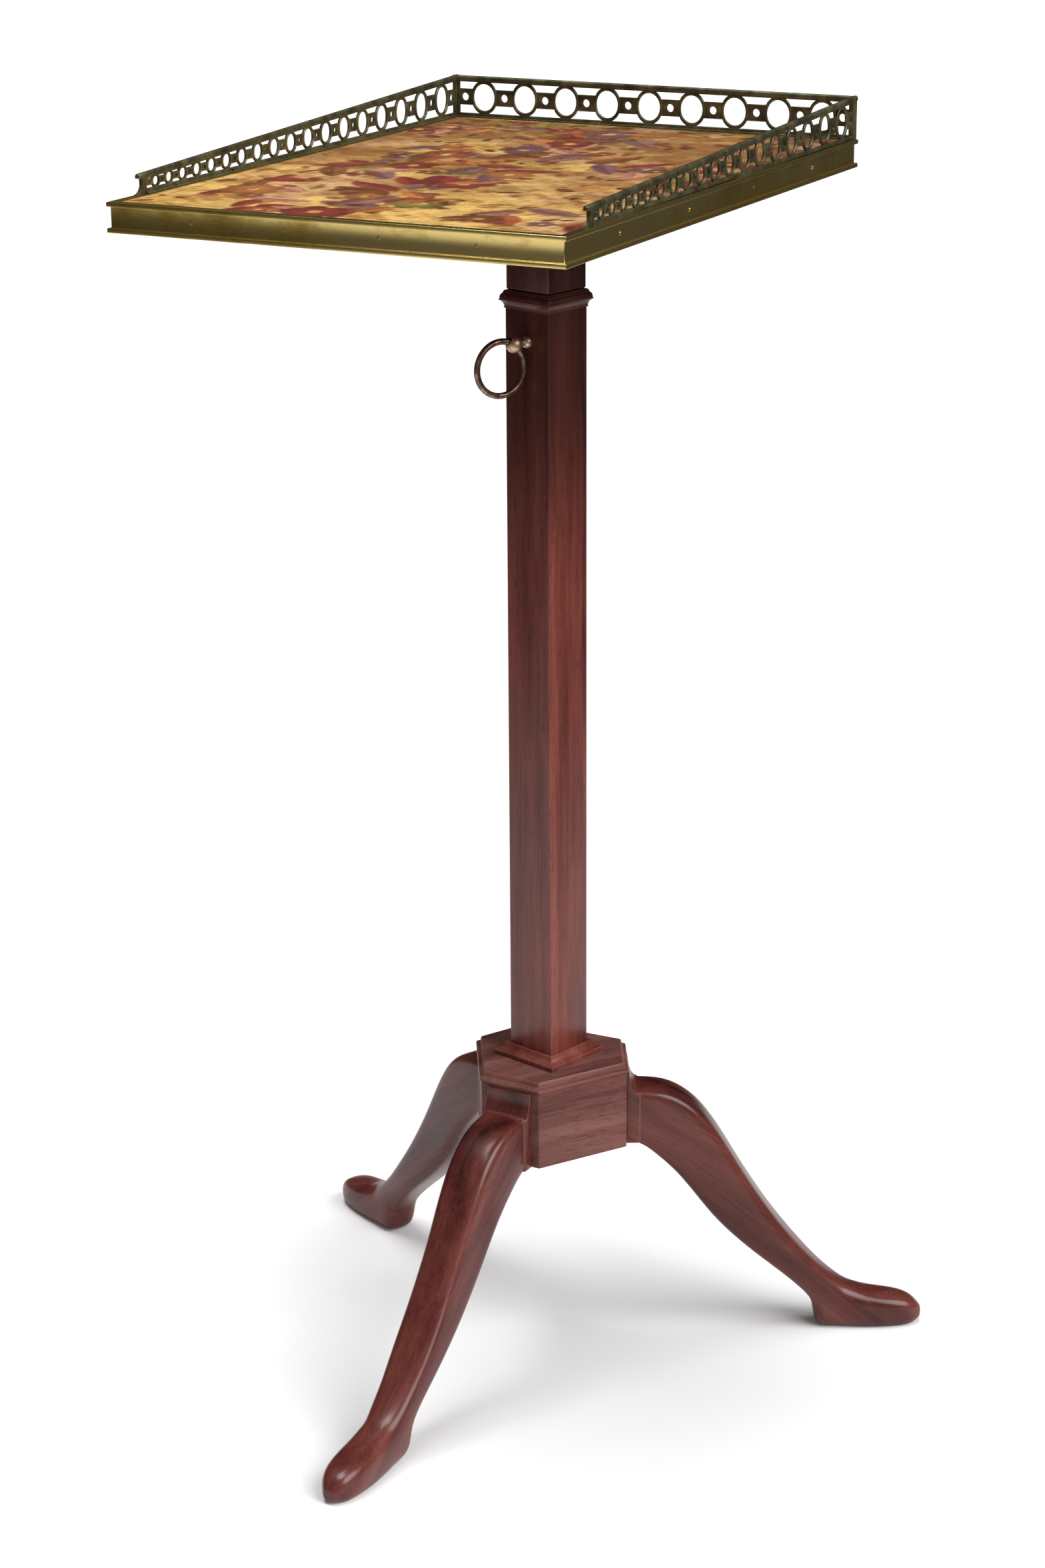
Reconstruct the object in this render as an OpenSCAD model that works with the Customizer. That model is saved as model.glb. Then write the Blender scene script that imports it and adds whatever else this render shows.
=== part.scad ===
// Display table: brass-galleried tray on a telescopic square column with three cabriole legs.
// Millimetres. The floor is z = 0, the origin is under the middle of the tray, and the
// tray's open side faces -Y.

/* [Tray] */
// Width of the tray over its brass band, left to right
top_w = 350; // [300:5:420]
// Depth of the tray over its brass band, front to back
top_d = 508; // [440:2:560]
// Height of the tray's underside above the floor
top_z = 943; // [880:1:1000]
// Distance of the column's axis behind the middle of the tray
setback = 68; // [40:1:90]
// Height of the brass band
band_h = 21; // [17:0.5:26]
// Overall thickness of the band, lips included
band_t = 7; // [6:0.5:9]
// How far the band's two lips stand out of its flat face
lip_out = 2.2; // [1.5:0.1:4]
// Thickness of each lip
lip_t = 3.2; // [2.4:0.2:4.5]
// Thickness of the decorated panel
panel_t = 3; // [2:0.5:4]
// How far the panel's face lies below the top of the band
panel_drop = 0.6; // [0.2:0.1:1.2]

/* [Gallery] */
// Height of the gallery at the back, rail included
gal_back_h = 33; // [26:0.5:40]
// Height of the gallery at its front ends, rail included
gal_front_h = 15; // [12:0.5:22]
// Distance of the gallery's front ends behind the front edge of the band
gal_gap = 40; // [25:1:60]
// Thickness of the pierced strip
fret_t = 2.4; // [1.4:0.1:2.6]
// Height of the plain strip under the openings
fret_base = 1.6; // [1:0.1:2.5]
// Width of metal round each oval at full height
oval_wall = 2.5; // [1.6:0.1:3]
// Width of an oval as a share of its cell
oval_share = 0.64; // [0.55:0.01:0.7]
// Side of the square link between ovals at full height
link_w = 13.2; // [9:0.2:15]
// Diameter of the hole in a full-height link
link_hole_d = 5.2; // [4:0.2:8]
// Ovals along the back
back_cells = 9; // [7:1:11]
// Ovals along each side
side_cells = 18; // [14:1:20]
// Width of each side cell as a share of the one behind it
side_ratio = 0.9575; // [0.94:0.0025:0.98]
// Height of the top rail
rail_h = 3.6; // [2.8:0.2:4.6]
// Width of the top rail
rail_w = 4.6; // [3.6:0.2:6]
// How far each side rail runs past its front post
rail_over = 5; // [2:0.5:8]
// Side of the square gallery posts
post_w = 4; // [2.6:0.2:4.4]
// Distance of the posts' outer faces inside the band's outer edge
gal_inset = 1.2; // [0.6:0.1:2]
// Width of the flange under each pierced strip
flange_w = 4.8; // [3.4:0.2:5]
// Thickness of that flange
flange_t = 1.2; // [0.8:0.1:1.6]

/* [Column] */
// Side of the square column
col_w = 44; // [40:1:52]
// Thickness of the column's boards
col_wall = 8; // [7:0.5:9]
// Turn of the column about its axis, off the front leg, in degrees
col_turn = -15; // [-30:1:0]
// Height of the column's top end above the floor
col_top_z = 866; // [820:1:880]
// Depth of the column's foot in the base block
col_tenon = 42; // [30:1:50]
// Height of the collar moulding
collar_h = 13.8; // [11:0.2:20]
// How far the collar stands out of the column
collar_out = 3; // [2.5:0.2:6]
// Height of the foot moulding
foot_mould_h = 10; // [7:0.5:14]
// How far the foot moulding stands out of the column
foot_mould_out = 9; // [6:0.5:12]

/* [Shaft] */
// Sliding clearance on each side between the shaft's shoe or bush and what it runs in
slide_gap = 0.3; // [0.2:0.05:0.5]
// Thickness of the brass mouth bush
bush_t = 1.2; // [0.8:0.1:1.6]
// Height of the mouth bush
bush_h = 26; // [18:1:34]
// Length of the shaft below the column's top end
shaft_len = 560; // [520:5:600]
// Length of the shaft's tenon in the head block
shaft_tenon = 34; // [24:1:40]
// Height of the shoe on the shaft's lower end
shoe_h = 24; // [16:1:32]
// Highest rise of the top
rise = 350; // [300:10:380]
// Spacing of the catch's holes
hole_step = 25; // [20:5:50]
// Width of the brass stop strip
strip_w = 12; // [9:0.5:14]
// Thickness of the stop strip
strip_t = 2; // [1.5:0.25:3]
// Side of the head block
head_w = 43; // [38:1:48]
// Gap between the column's top end and the head block when the top is down
rest_gap = 0.3; // [0.2:0.05:0.5]

/* [Swivel] */
// Diameter of the swivel plates
swivel_d = 58; // [50:1:70]
// Thickness of each swivel plate
swivel_t = 2.5; // [2:0.25:3.5]
// Gap between the two plates
swivel_gap = 0.3; // [0.2:0.05:0.5]
// Diameter of the centre pin
pin_d = 12; // [8:0.5:14]
// Running clearance between the pin and the upper plate, on the radius
pin_gap = 0.06; // [0.03:0.01:0.1]
// Thickness of the bearer under the tray
bearer_t = 18; // [14:1:22]
// Length of the bearer, front to back
bearer_d = 240; // [180:5:280]
// Width of the bearer
bearer_w = 110; // [90:5:140]

/* [Catch] */
// Height of the catch's axis above the floor
catch_z = 829; // [790:1:835]
// Diameter of the bolt
bolt_d = 5; // [4:0.5:6]
// Clearance round the bolt, on the radius
bolt_gap = 0.1; // [0.06:0.02:0.2]
// Travel of the bolt
bolt_travel = 3; // [2:0.25:3.25]
// Gap left between the bolt's tip and the shaft
tip_gap = 0.4; // [0.3:0.1:0.6]
// Diameter of the outer ball, which holds the ring
eye_ball_d = 12.6; // [10:0.2:13]
// Distance of the outer ball's centre from the column's face
eye_out = 14.6; // [13:0.2:17]
// Diameter of the domed rose where the bolt leaves the column
rose_d = 9.6; // [8:0.2:12]
// Diameter of the hole through the outer ball
eye_hole_d = 6.8; // [6:0.2:7.4]
// Mean diameter of the ring
ring_d = 41; // [36:0.2:44]
// Diameter of the ring's bar
ring_bar = 4.8; // [4:0.1:5.4]
// Turn of the ring's plane off the catch's axis, in degrees
ring_twist = -17; // [-30:1:-10]
// Lean of the ring away from the column as it hangs, in degrees
ring_lean = 34; // [20:1:40]

/* [Base block] */
// Height of the block's underside above the floor
block_z = 173; // [160:1:185]
// Height of the block, without its cap
block_h = 65; // [58:1:75]
// Distance from the axis to the narrow faces, which carry the legs
block_leg_r = 62; // [56:1:70]
// Distance from the axis to the wide faces
block_wide_r = 54; // [50:1:60]
// Height of the moulded cap on the block
cap_h = 8; // [6:0.5:11]
// How far the cap's bead stands out of the block
cap_out = 1.6; // [0.8:0.2:2.5]

/* [Legs] */
// Reach of the toes from the column's axis
leg_reach = 308; // [292:1:322]
// How much further the front leg reaches than the other two
front_extra = 25; // [0:1:32]
// Height of the leg's top at the block
leg_top = 218; // [210:1:226]
// Half width of the leg at the block
leg_half_w = 19.6; // [17:0.4:24]
// How far the leg's square shoulder stands out of the block
shoulder_t = 11; // [8:0.5:16]
// Width of that shoulder
shoulder_w = 39.8; // [35:0.2:48]
// Height of the scoop at the shoulder's top
scoop_h = 20; // [10:1:30]
// Half width of the ankle
ankle_half_w = 16.4; // [13:0.2:18]
// Height of the pad foot at its widest
pad_h = 28.5; // [24:0.5:34]
// Half width of the pad foot
pad_half_w = 16.4; // [14:0.4:20]
// Width of the dovetail's neck at the block's face
dove_neck = 14; // [10:1:18]
// Width of the dovetail at its root
dove_root = 20; // [16:1:26]
// Depth of the dovetail in the block
dove_depth = 12; // [10:0.5:14]
// Thickness of the iron strap under the block
strap_t = 2.5; // [2:0.25:4]

/* [Hidden] */

$fn = 48;
eps = 0.01;
mahogany = "#6B3A34";
mahogany_dark = "#4A2420";
brass = "#8A7B45";
iron = "#4B4744";

// Tray levels
rim_z = top_z + band_h;
panel_z = rim_z - panel_drop - panel_t;
core_w = top_w - 2 * band_t;
core_d = top_d - 2 * band_t;

// Column levels
block_top = block_z + block_h;
cap_top = block_top + cap_h;
col_bottom = block_top - col_tenon;
bore = col_w - 2 * col_wall;
col_half = col_w / 2;
bush_seat = 0.8;
bush_bore = bore - 2 * (bush_t - bush_seat);
shaft_w = bush_bore - 2 * slide_gap;
shaft_bottom = col_top_z - shaft_len;
plug_top = col_bottom + col_tenon;
head_z = col_top_z + rest_gap;
bearer_z = top_z - bearer_t;
upper_plate_z = bearer_z - swivel_t;
lower_plate_z = upper_plate_z - swivel_gap - swivel_t;
head_h = lower_plate_z - head_z;

// Turns of the legs from the front one
leg_turns = [-3.5, 118, 242.5];

module at_column() { translate([0, setback, 0]) children(); }
module at_column_faces() { at_column() rotate([0, 0, col_turn]) children(); }
// A horizontal axis out of the column's front face at the catch's height; +Z of the
// children points out of the face, and their origin is on the column's axis
module at_catch() {
    at_column_faces() translate([0, 0, catch_z]) rotate([90, 0, 0]) children();
}

// Curve through hand-chosen stations, each a row of numbers
function spline(s, i, t) =
    let (a = s[max(i - 1, 0)], b = s[i], c = s[i + 1], d = s[min(i + 2, len(s) - 1)])
    0.5 * (2 * b + (c - a) * t + (2 * a - 5 * b + 4 * c - d) * t * t
        + (3 * b - a - 3 * c + d) * t * t * t);

// Where a nominal reach and height of the leg's drawing lie, after the named sizes
function leg_out(r, far) = block_leg_r + (r - 62) * (far - block_leg_r) / 246;
function leg_up(z) = z <= 28.5 ? z * pad_h / 28.5
    : pad_h + (z - 28.5) * (leg_top - pad_h) / 189.5;
function stump_w(share) = leg_half_w * share;
function pad_w(share) = pad_half_w * share;

// Leg stations: reach, height, slope of the section, half thickness, half width, squareness.
// The first lies on the block's narrow face; the sections below the floor are cut flat by it.
leg_stations = [
    [62, leg_up(196), 0, 22, stump_w(0.97), 9],
    [70, leg_up(195), 2, 22.5, stump_w(0.98), 9],
    [80, leg_up(192.5), 5, 24.8, stump_w(1), 7.5],
    [94, leg_up(186.3), 10.2, 28.6, stump_w(1.01), 6.5],
    [112, leg_up(171.8), 15, 30.3, stump_w(1), 5.8],
    [129, leg_up(149.2), 19, 28.8, stump_w(0.97), 5.2],
    [147, leg_up(121.6), 24.4, 24.6, stump_w(0.93), 4.8],
    [171, leg_up(91), 30.1, 18.7, (stump_w(0.85) + ankle_half_w * 1.25) / 2, 4.4],
    [195, leg_up(65.5), 34.3, 14.2, ankle_half_w * 1.13, 4],
    [214, leg_up(46), 41, 12.6, ankle_half_w * 1.02, 3.6],
    [227, leg_up(32.4), 43, 14.2, ankle_half_w, 3.3],
    [233.5, leg_up(19.2), 37, 21.7, pad_w(0.99), 3.1],
    [245, leg_up(16.8), 28, 19, pad_w(1), 3.1],
    [257, leg_up(14.6), 20, 16.9, pad_w(1.03), 3.1],
    [273, leg_up(13), 12, 15.4, pad_w(1.04), 3.1],
    [288, leg_up(12), 8, 13.8, pad_w(0.95), 3],
    [300, leg_up(10), 5, 11.4, pad_w(0.72), 2.8],
    [308, leg_up(8.5), 3, 5, pad_w(0.3), 2.4]
];
leg_sides = 20;
leg_steps = 2;

// One section of the leg, as points round it
function leg_ring(s, far) = [for (k = [0 : leg_sides - 1])
    let (a = 360 * k / leg_sides, c = cos(a), n = sin(a),
         w = s[4] * sign(c) * pow(abs(c), 2 / s[5]),
         h = s[3] * sign(n) * pow(abs(n), 2 / s[5]))
    [w, -(leg_out(s[0], far) + h * sin(s[2])), max(0, s[1] + h * cos(s[2]))]];
leg_rows = [for (i = [0 : len(leg_stations) - 2]) for (j = [0 : leg_steps - 1])
    spline(leg_stations, i, j / leg_steps)];
function leg_rings(far) = concat([for (s = leg_rows) leg_ring(s, far)],
    [leg_ring(leg_stations[len(leg_stations) - 1], far)]);

// Closed skin over rings of equal length, with a flat fan at both ends
function skin_faces(n, m) = concat(
    [for (i = [0 : n - 2]) for (k = [0 : m - 1])
        [i * m + k, (i + 1) * m + k, (i + 1) * m + (k + 1) % m]],
    [for (i = [0 : n - 2]) for (k = [0 : m - 1])
        [i * m + k, (i + 1) * m + (k + 1) % m, i * m + (k + 1) % m]],
    [for (k = [1 : m - 2]) [0, k, k + 1]],
    [for (k = [1 : m - 2]) [(n - 1) * m, (n - 1) * m + k + 1, (n - 1) * m + k]]);
module skin(rings) {
    m = len(rings[0]);
    polyhedron([for (r = rings) for (p = r) p], skin_faces(len(rings), m), convexity = 4);
}

// Dovetail of a leg, or the slot for it, along the leg's narrow face
module dovetail(top, grow) {
    translate([0, 0, block_z - grow])
        linear_extrude(top - block_z + grow)
            polygon([[-dove_neck / 2, -block_leg_r - eps], [-dove_root / 2, -block_leg_r + dove_depth],
                [dove_root / 2, -block_leg_r + dove_depth], [dove_neck / 2, -block_leg_r - eps]]);
}
dove_top = leg_top - 10;

// Shoulder of a leg, outwards and up from the block's foot, with a hollow scoop at its top
shoulder_drop = 2;
shoulder_lip = 2.5;
shoulder_r = block_leg_r + shoulder_t;
shoulder_top = block_top - shoulder_drop;
scoop_in = shoulder_t - shoulder_lip;
scoop_steps = 7;
function scoop(t) = [shoulder_r - scoop_in * cos(t), shoulder_top - scoop_h * sin(t)];
module shoulder() {
    rotate([90, 0, -90]) linear_extrude(shoulder_w, center = true)
        polygon(concat([[block_leg_r, block_z], [shoulder_r, block_z]],
            [for (k = [scoop_steps : -1 : 0]) scoop(90 * k / scoop_steps)],
            [[block_leg_r, shoulder_top]]));
}
module leg(turn, far) {
    color(mahogany) at_column() rotate([0, 0, turn]) {
        skin(leg_rings(far));
        dovetail(dove_top, 0);
        shoulder();
    }
}
module leg_front() { leg(leg_turns[0], leg_reach + front_extra); }
module leg_right() { leg(leg_turns[1], leg_reach); }
module leg_left() { leg(leg_turns[2], leg_reach); }

// Six-sided outline with narrow faces towards the legs, grown outwards by g
function hex_corners(g) =
    let (a = block_leg_r + g, b = block_wide_r + g, h = (2 * b - a) / sqrt(3))
    [for (t = leg_turns) for (s = [-1, 1])
        [s * h * cos(t) + a * sin(t), s * h * sin(t) - a * cos(t)]];
module hex(g) { polygon(hex_corners(g)); }

module base_block() {
    color(mahogany) at_column() difference() {
        translate([0, 0, block_z]) linear_extrude(block_h) hex(0);
        rotate([0, 0, col_turn])
            translate([-col_half, -col_half, col_bottom]) cube([col_w, col_w, block_h]);
        for (t = leg_turns) rotate([0, 0, t]) dovetail(dove_top, 1);
        for (t = leg_turns) rotate([0, 0, t]) strap_hole(block_z - 1, strap_screw_len + 1);
    }
}

module block_cap() {
    bead_h = cap_h * 0.45;
    color(mahogany) at_column() difference() {
        union() {
            translate([0, 0, block_top]) linear_extrude(bead_h) hex(cap_out);
            translate([0, 0, block_top + bead_h]) linear_extrude(cap_h - bead_h) hex(-2.4);
        }
        rotate([0, 0, col_turn]) translate([-col_half, -col_half, block_top - 1])
            cube([col_w, col_w, cap_h + 2]);
    }
}

// Four mitred lengths round a square of half side s; the child is the moulding's
// section, drawn with x outwards from that square and y upwards
module mitred_square(s, out) {
    for (q = [0 : 90 : 270]) rotate([0, 0, q]) intersection() {
        translate([-s - out - 1, s, 0]) rotate([90, 0, 90])
            linear_extrude(2 * (s + out + 1)) children();
        translate([0, 0, -200]) linear_extrude(400)
            polygon([[0, 0], [2 * s, 2 * s], [-2 * s, 2 * s]]);
    }
}

module column_foot_moulding() {
    fillet = foot_mould_h * 0.4;
    cove = foot_mould_h - fillet;
    color(mahogany) at_column_faces() translate([0, 0, cap_top])
        mitred_square(col_half, foot_mould_out) difference() {
            square([foot_mould_out, foot_mould_h]);
            translate([foot_mould_out, foot_mould_h]) circle(cove);
        }
}

module collar() {
    nose = 1.6;
    bevel = collar_h * 0.32;
    cove = collar_out * 1.9;
    color(mahogany) at_column_faces() translate([0, 0, col_top_z - collar_h])
        mitred_square(col_half, collar_out) difference() {
            polygon([[0, 0], [collar_out * 0.35, 0], [collar_out, collar_h - bevel - nose],
                [collar_out, collar_h - bevel], [collar_out * 0.45, collar_h], [0, collar_h]]);
            translate([collar_out * 0.5 + cove, (collar_h - bevel - nose) / 2]) circle(cove);
        }
}

// Mitred boards of the column: outer face to -Y before turning
module column_board(turn) {
    color(mahogany) at_column_faces() rotate([0, 0, turn])
        translate([0, 0, col_bottom]) linear_extrude(col_top_z - col_bottom)
            polygon([[-col_half, -col_half], [col_half, -col_half],
                [bore / 2, -bore / 2], [-bore / 2, -bore / 2]]);
}
module bush_seat_cut() {
    at_column_faces() translate([0, 0, col_top_z - bush_h])
        translate([-bore / 2 - bush_seat, -bore / 2 - bush_seat, 0])
            cube([bore + 2 * bush_seat, bore + 2 * bush_seat, bush_h + 1]);
}
module board(turn) {
    color(mahogany) difference() {
        column_board(turn);
        bush_seat_cut();
    }
}
module column_board_back() { board(180); }
module column_board_left() { board(-90); }
module column_board_right() { board(90); }

// The front board holds the catch: a bush near its face and a recess for the leaf spring
leaf_w = 11;
leaf_t = 0.8;
leaf_len = 62;
collar_disc_gap = 0.5;
collar_disc_t = 1;
recess_d = bolt_travel + collar_disc_gap + collar_disc_t + leaf_t;
catch_bush_t = col_wall - recess_d;
module column_board_front() {
    color(mahogany) difference() {
        column_board(0);
        bush_seat_cut();
        at_catch() translate([0, 0, bore / 2]) {
            cylinder(h = col_wall + 1, d = rose_d - 2);
            translate([-leaf_w / 2 - 1, -leaf_len - 1, -1])
                cube([leaf_w + 2, leaf_len + 8, recess_d + 1]);
            for (y = spring_screw_y) translate([0, y, 0])
                cylinder(h = recess_d + spring_screw_bite, d = 1.6);
        }
    }
}
module catch_rose() {
    color(brass) at_catch() difference() {
        rotate_extrude() {
            translate([0, col_half - catch_bush_t]) square([rose_d / 2 - 1, catch_bush_t]);
            intersection() {
                translate([0, col_half]) circle(d = rose_d);
                translate([0, col_half]) square(rose_d);
            }
        }
        translate([0, 0, col_half - catch_bush_t - 1])
            cylinder(h = col_half, d = bolt_d + 2 * bolt_gap);
    }
}
// Leaf spring: flat against the recess at its lower end, resting on the bolt's collar above
spring_screw_y = [-leaf_len + 7, -leaf_len + 17];
spring_screw_bite = 1.4;
module catch_spring() {
    lift = recess_d - leaf_t - collar_disc_t - collar_disc_gap;
    color(iron) at_catch() difference() {
        translate([0, 0, bore / 2]) rotate([90, 0, 90])
            translate([0, 0, -leaf_w / 2]) linear_extrude(leaf_w)
                polygon([[-leaf_len, recess_d - leaf_t], [-leaf_len, recess_d],
                    [-leaf_len + 24, recess_d], [5, recess_d - lift], [5, recess_d - lift - leaf_t],
                    [-leaf_len + 24, recess_d - leaf_t]]);
        cylinder(h = col_w, d = bolt_d + 1.2);
        for (y = spring_screw_y) translate([0, y, 0]) cylinder(h = col_half, d = 1.6);
    }
}
module spring_screws() {
    color(iron) at_catch() for (y = spring_screw_y) translate([0, y, bore / 2 + recess_d - leaf_t]) {
        translate([0, 0, -1]) cylinder(h = 1, d = 3.4);
        cylinder(h = leaf_t + spring_screw_bite, d = 1.6);
    }
}

// Bolt with its two balls; its tip stops short of the shaft
module catch_bolt() {
    tip = shaft_w / 2 + tip_gap;
    eye = col_half + eye_out;
    color(brass) at_catch() difference() {
        union() {
            translate([0, 0, tip]) cylinder(h = eye - tip, d = bolt_d);
            translate([0, 0, bore / 2 + collar_disc_gap]) cylinder(h = collar_disc_t, d = 9);
            translate([0, 0, eye]) sphere(d = eye_ball_d);
        }
        translate([0, 0, eye]) rotate([0, ring_twist, 0]) rotate([-ring_lean, 0, 0])
            translate([0, 0, -eye_ball_d]) cylinder(h = 2 * eye_ball_d, d = eye_hole_d);
    }
}
// The ring hangs from the eye: its bar runs along the eye's hole there
module ring_pull() {
    color(brass) at_catch() translate([0, 0, col_half + eye_out])
        rotate([0, ring_twist, 0]) rotate([-ring_lean, 0, 0])
            translate([0, -ring_d / 2, 0]) rotate([0, 90, 0])
                rotate_extrude($fn = 96) translate([ring_d / 2, 0]) circle(d = ring_bar);
}

module column_plug() {
    color(mahogany_dark) at_column_faces() translate([-bore / 2, -bore / 2, col_bottom])
        cube([bore, bore, plug_top - col_bottom]);
}
module mouth_bush() {
    w = bore + 2 * bush_seat;
    color(brass) at_column_faces() translate([0, 0, col_top_z - bush_h]) difference() {
        translate([-w / 2, -w / 2, 0]) cube([w, w, bush_h]);
        translate([-bush_bore / 2, -bush_bore / 2, -1]) cube([bush_bore, bush_bore, bush_h + 2]);
    }
}

// Shaft with a groove for the stop strip and a blind hole at each stop
stops = floor(rise / hole_step) + 1;
strip_len = shaft_len - shoe_h - 30;
strip_z = col_top_z - 4 - strip_len;
stop_hole_d = bolt_d + 0.8;
module stop_holes(depth) {
    at_column_faces() for (k = [0 : stops - 1])
        translate([0, -shaft_w / 2 + depth, catch_z - k * hole_step]) rotate([90, 0, 0])
            cylinder(h = depth + 1, d = stop_hole_d);
}
module strip_body(grow) {
    at_column_faces() translate([-strip_w / 2, -shaft_w / 2 - grow, strip_z])
        cube([strip_w, strip_t + grow, strip_len]);
}
module shaft() {
    color(mahogany) difference() {
        at_column_faces() translate([-shaft_w / 2, -shaft_w / 2, shaft_bottom])
            cube([shaft_w, shaft_w, head_z + shaft_tenon - shaft_bottom]);
        strip_body(1);
        stop_holes(strip_t + 5);
        for (z = pin_levels) at_strip(z) cylinder(h = strip_t + 8, d = 2);
    }
}
pin_levels = [strip_z + 8, strip_z + strip_len - 8];
// +Z of the children runs into the shaft from its front face
module at_strip(z) {
    at_column_faces() translate([0, -shaft_w / 2, z]) rotate([-90, 0, 0]) children();
}
module stop_strip() {
    color(brass) difference() {
        strip_body(0);
        stop_holes(strip_t + 1);
        for (z = pin_levels) at_strip(z) translate([0, 0, -1]) cylinder(h = strip_t + 2, d = 2);
    }
}
module strip_pins() {
    color(brass) for (z = pin_levels) at_strip(z) cylinder(h = strip_t + 8, d = 2);
}
module shaft_shoe() {
    w = bore - 2 * slide_gap;
    color("#5A4632") at_column_faces() translate([-w / 2, -w / 2, shaft_bottom - shoe_h])
        cube([w, w, shoe_h]);
}
module head_block() {
    edge = 1;
    color(mahogany) at_column_faces() difference() {
        translate([0, 0, head_z]) linear_extrude(head_h) polygon([
            for (q = [0 : 90 : 270]) for (s = [-1, 1])
                let (a = head_w / 2, b = a - edge)
                [a * cos(q) - s * b * sin(q), a * sin(q) + s * b * cos(q)]]);
        translate([-shaft_w / 2, -shaft_w / 2, head_z - 1]) cube([shaft_w, shaft_w, shaft_tenon + 1]);
        translate([0, 0, lower_plate_z - pin_foot]) cylinder(h = pin_foot + 1, d = pin_d);
        for (q = swivel_screw_turns) rotate([0, 0, q]) translate([swivel_screw_r, 0, lower_plate_z - 9])
            cylinder(h = 10, d = 2.6);
    }
}

// Swivel: a pin fixed in the head and the lower plate turns in the upper plate
pin_foot = 8;
swivel_screw_turns = [45 : 90 : 315];
swivel_screw_r = 17;
upper_screw_r = 23;
module disc_with_holes(d, t, hole, r, turns) {
    difference() {
        cylinder(h = t, d = d, $fn = 96);
        translate([0, 0, -1]) cylinder(h = t + 2, d = hole);
        for (q = turns) rotate([0, 0, q]) translate([r, 0, -1]) cylinder(h = t + 2, d = 2.6);
    }
}
module swivel_lower() {
    color(brass) at_column_faces() translate([0, 0, lower_plate_z])
        disc_with_holes(swivel_d, swivel_t, pin_d, swivel_screw_r, swivel_screw_turns);
}
module swivel_lower_screws() {
    color(iron) at_column_faces() for (q = swivel_screw_turns) rotate([0, 0, q])
        translate([swivel_screw_r, 0, lower_plate_z - 9]) cylinder(h = 9 + swivel_t, d = 2.6);
}
washer_t = 2;
washer_d = 26;
module swivel_pin() {
    top = bearer_z + washer_t + 2 * swivel_gap;
    color(iron) at_column_faces() {
        translate([0, 0, lower_plate_z - pin_foot])
            cylinder(h = top - lower_plate_z + pin_foot, d = pin_d);
        translate([0, 0, top]) cylinder(h = 4, d = pin_d + 6);
    }
}
module swivel_upper() {
    color(brass) at_column() translate([0, 0, upper_plate_z])
        disc_with_holes(swivel_d, swivel_t, pin_d + 2 * pin_gap, upper_screw_r, [0 : 90 : 270]);
}
module swivel_upper_screws() {
    color(iron) at_column() for (q = [0 : 90 : 270]) rotate([0, 0, q])
        translate([upper_screw_r, 0, upper_plate_z]) cylinder(h = swivel_t + 10, d = 2.6);
}
module swivel_washer() {
    color(iron) at_column() translate([0, 0, bearer_z + swivel_gap]) difference() {
        cylinder(h = washer_t, d = washer_d);
        translate([0, 0, -1]) cylinder(h = washer_t + 2, d = pin_d + 2 * pin_gap);
    }
}

// Bearer under the tray, with a well for the pin's head and washer
well_d = washer_d + 1;
bearer_screw_x = bearer_w / 2 - 14;
bearer_screw_y = bearer_d / 2 - 18;
module bearer_screw_places() {
    for (x = [-1, 1]) for (y = [-1, 1])
        translate([x * bearer_screw_x, setback + y * bearer_screw_y, 0]) children();
}
module bearer() {
    color(mahogany_dark) difference() {
        translate([-bearer_w / 2, setback - bearer_d / 2, bearer_z]) cube([bearer_w, bearer_d, bearer_t]);
        at_column() translate([0, 0, bearer_z - 1]) cylinder(h = bearer_t + 2, d = well_d);
        at_column() for (q = [0 : 90 : 270]) rotate([0, 0, q])
            translate([upper_screw_r, 0, bearer_z - 1]) cylinder(h = 11, d = 2.6);
        bearer_screw_places() {
            translate([0, 0, bearer_z - 1]) cylinder(h = bearer_t + 2, d = 4);
            translate([0, 0, bearer_z - 1]) cylinder(h = 4, d = 8.4);
        }
    }
}
module bearer_screws() {
    color(iron) bearer_screw_places() {
        translate([0, 0, bearer_z + 0.4]) cylinder(h = 2.6, d = 8);
        translate([0, 0, bearer_z + 2]) cylinder(h = bearer_t + 8, d = 4);
    }
}

// Tray
module tray_core() {
    color(mahogany_dark) difference() {
        translate([-core_w / 2, -core_d / 2, top_z]) cube([core_w, core_d, panel_z - top_z]);
        bearer_screw_places() translate([0, 0, top_z - 1]) cylinder(h = 11, d = 4);
    }
}
module tray_panel() {
    color("#A9824F") translate([-core_w / 2, -core_d / 2, panel_z]) cube([core_w, core_d, panel_t]);
}

// Section of the band, x outwards from its inner face
module band_section() {
    r = 1.2;
    flat = band_t - lip_out;
    difference() {
        square([band_t, band_h]);
        translate([flat, lip_t + r]) square([lip_out + 1, band_h - 2 * lip_t - 2 * r]);
        translate([flat + r, lip_t]) square([lip_out + 1, band_h - 2 * lip_t]);
        for (y = [lip_t + r, band_h - lip_t - r]) translate([flat + r, y]) circle(r);
    }
}
module band(length, reach) {
    difference() {
        translate([-length / 2, -reach + band_t, top_z]) rotate([90, 0, 90])
            linear_extrude(length) mirror([1, 0]) band_section();
        for (s = [-1, 1]) translate([s * length / 2, -reach, top_z - 1])
            linear_extrude(band_h + 2) polygon([[-s * 0, 0], [s * 2, 0], [s * 2, band_t + 2],
                [-s * (band_t + 2), band_t + 2]]);
        for (x = band_pin_places(length)) translate([x, -reach - 1, top_z + band_h / 2])
            rotate([-90, 0, 0]) cylinder(h = band_t + 2, d = band_pin_d);
    }
}
band_pin_d = 1.6;
function band_pin_places(length) = [for (k = [-1.5 : 1 : 1.5]) k * (length - 60) / 4];
module band_front() { color(brass) band(top_w, top_d / 2); }
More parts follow.
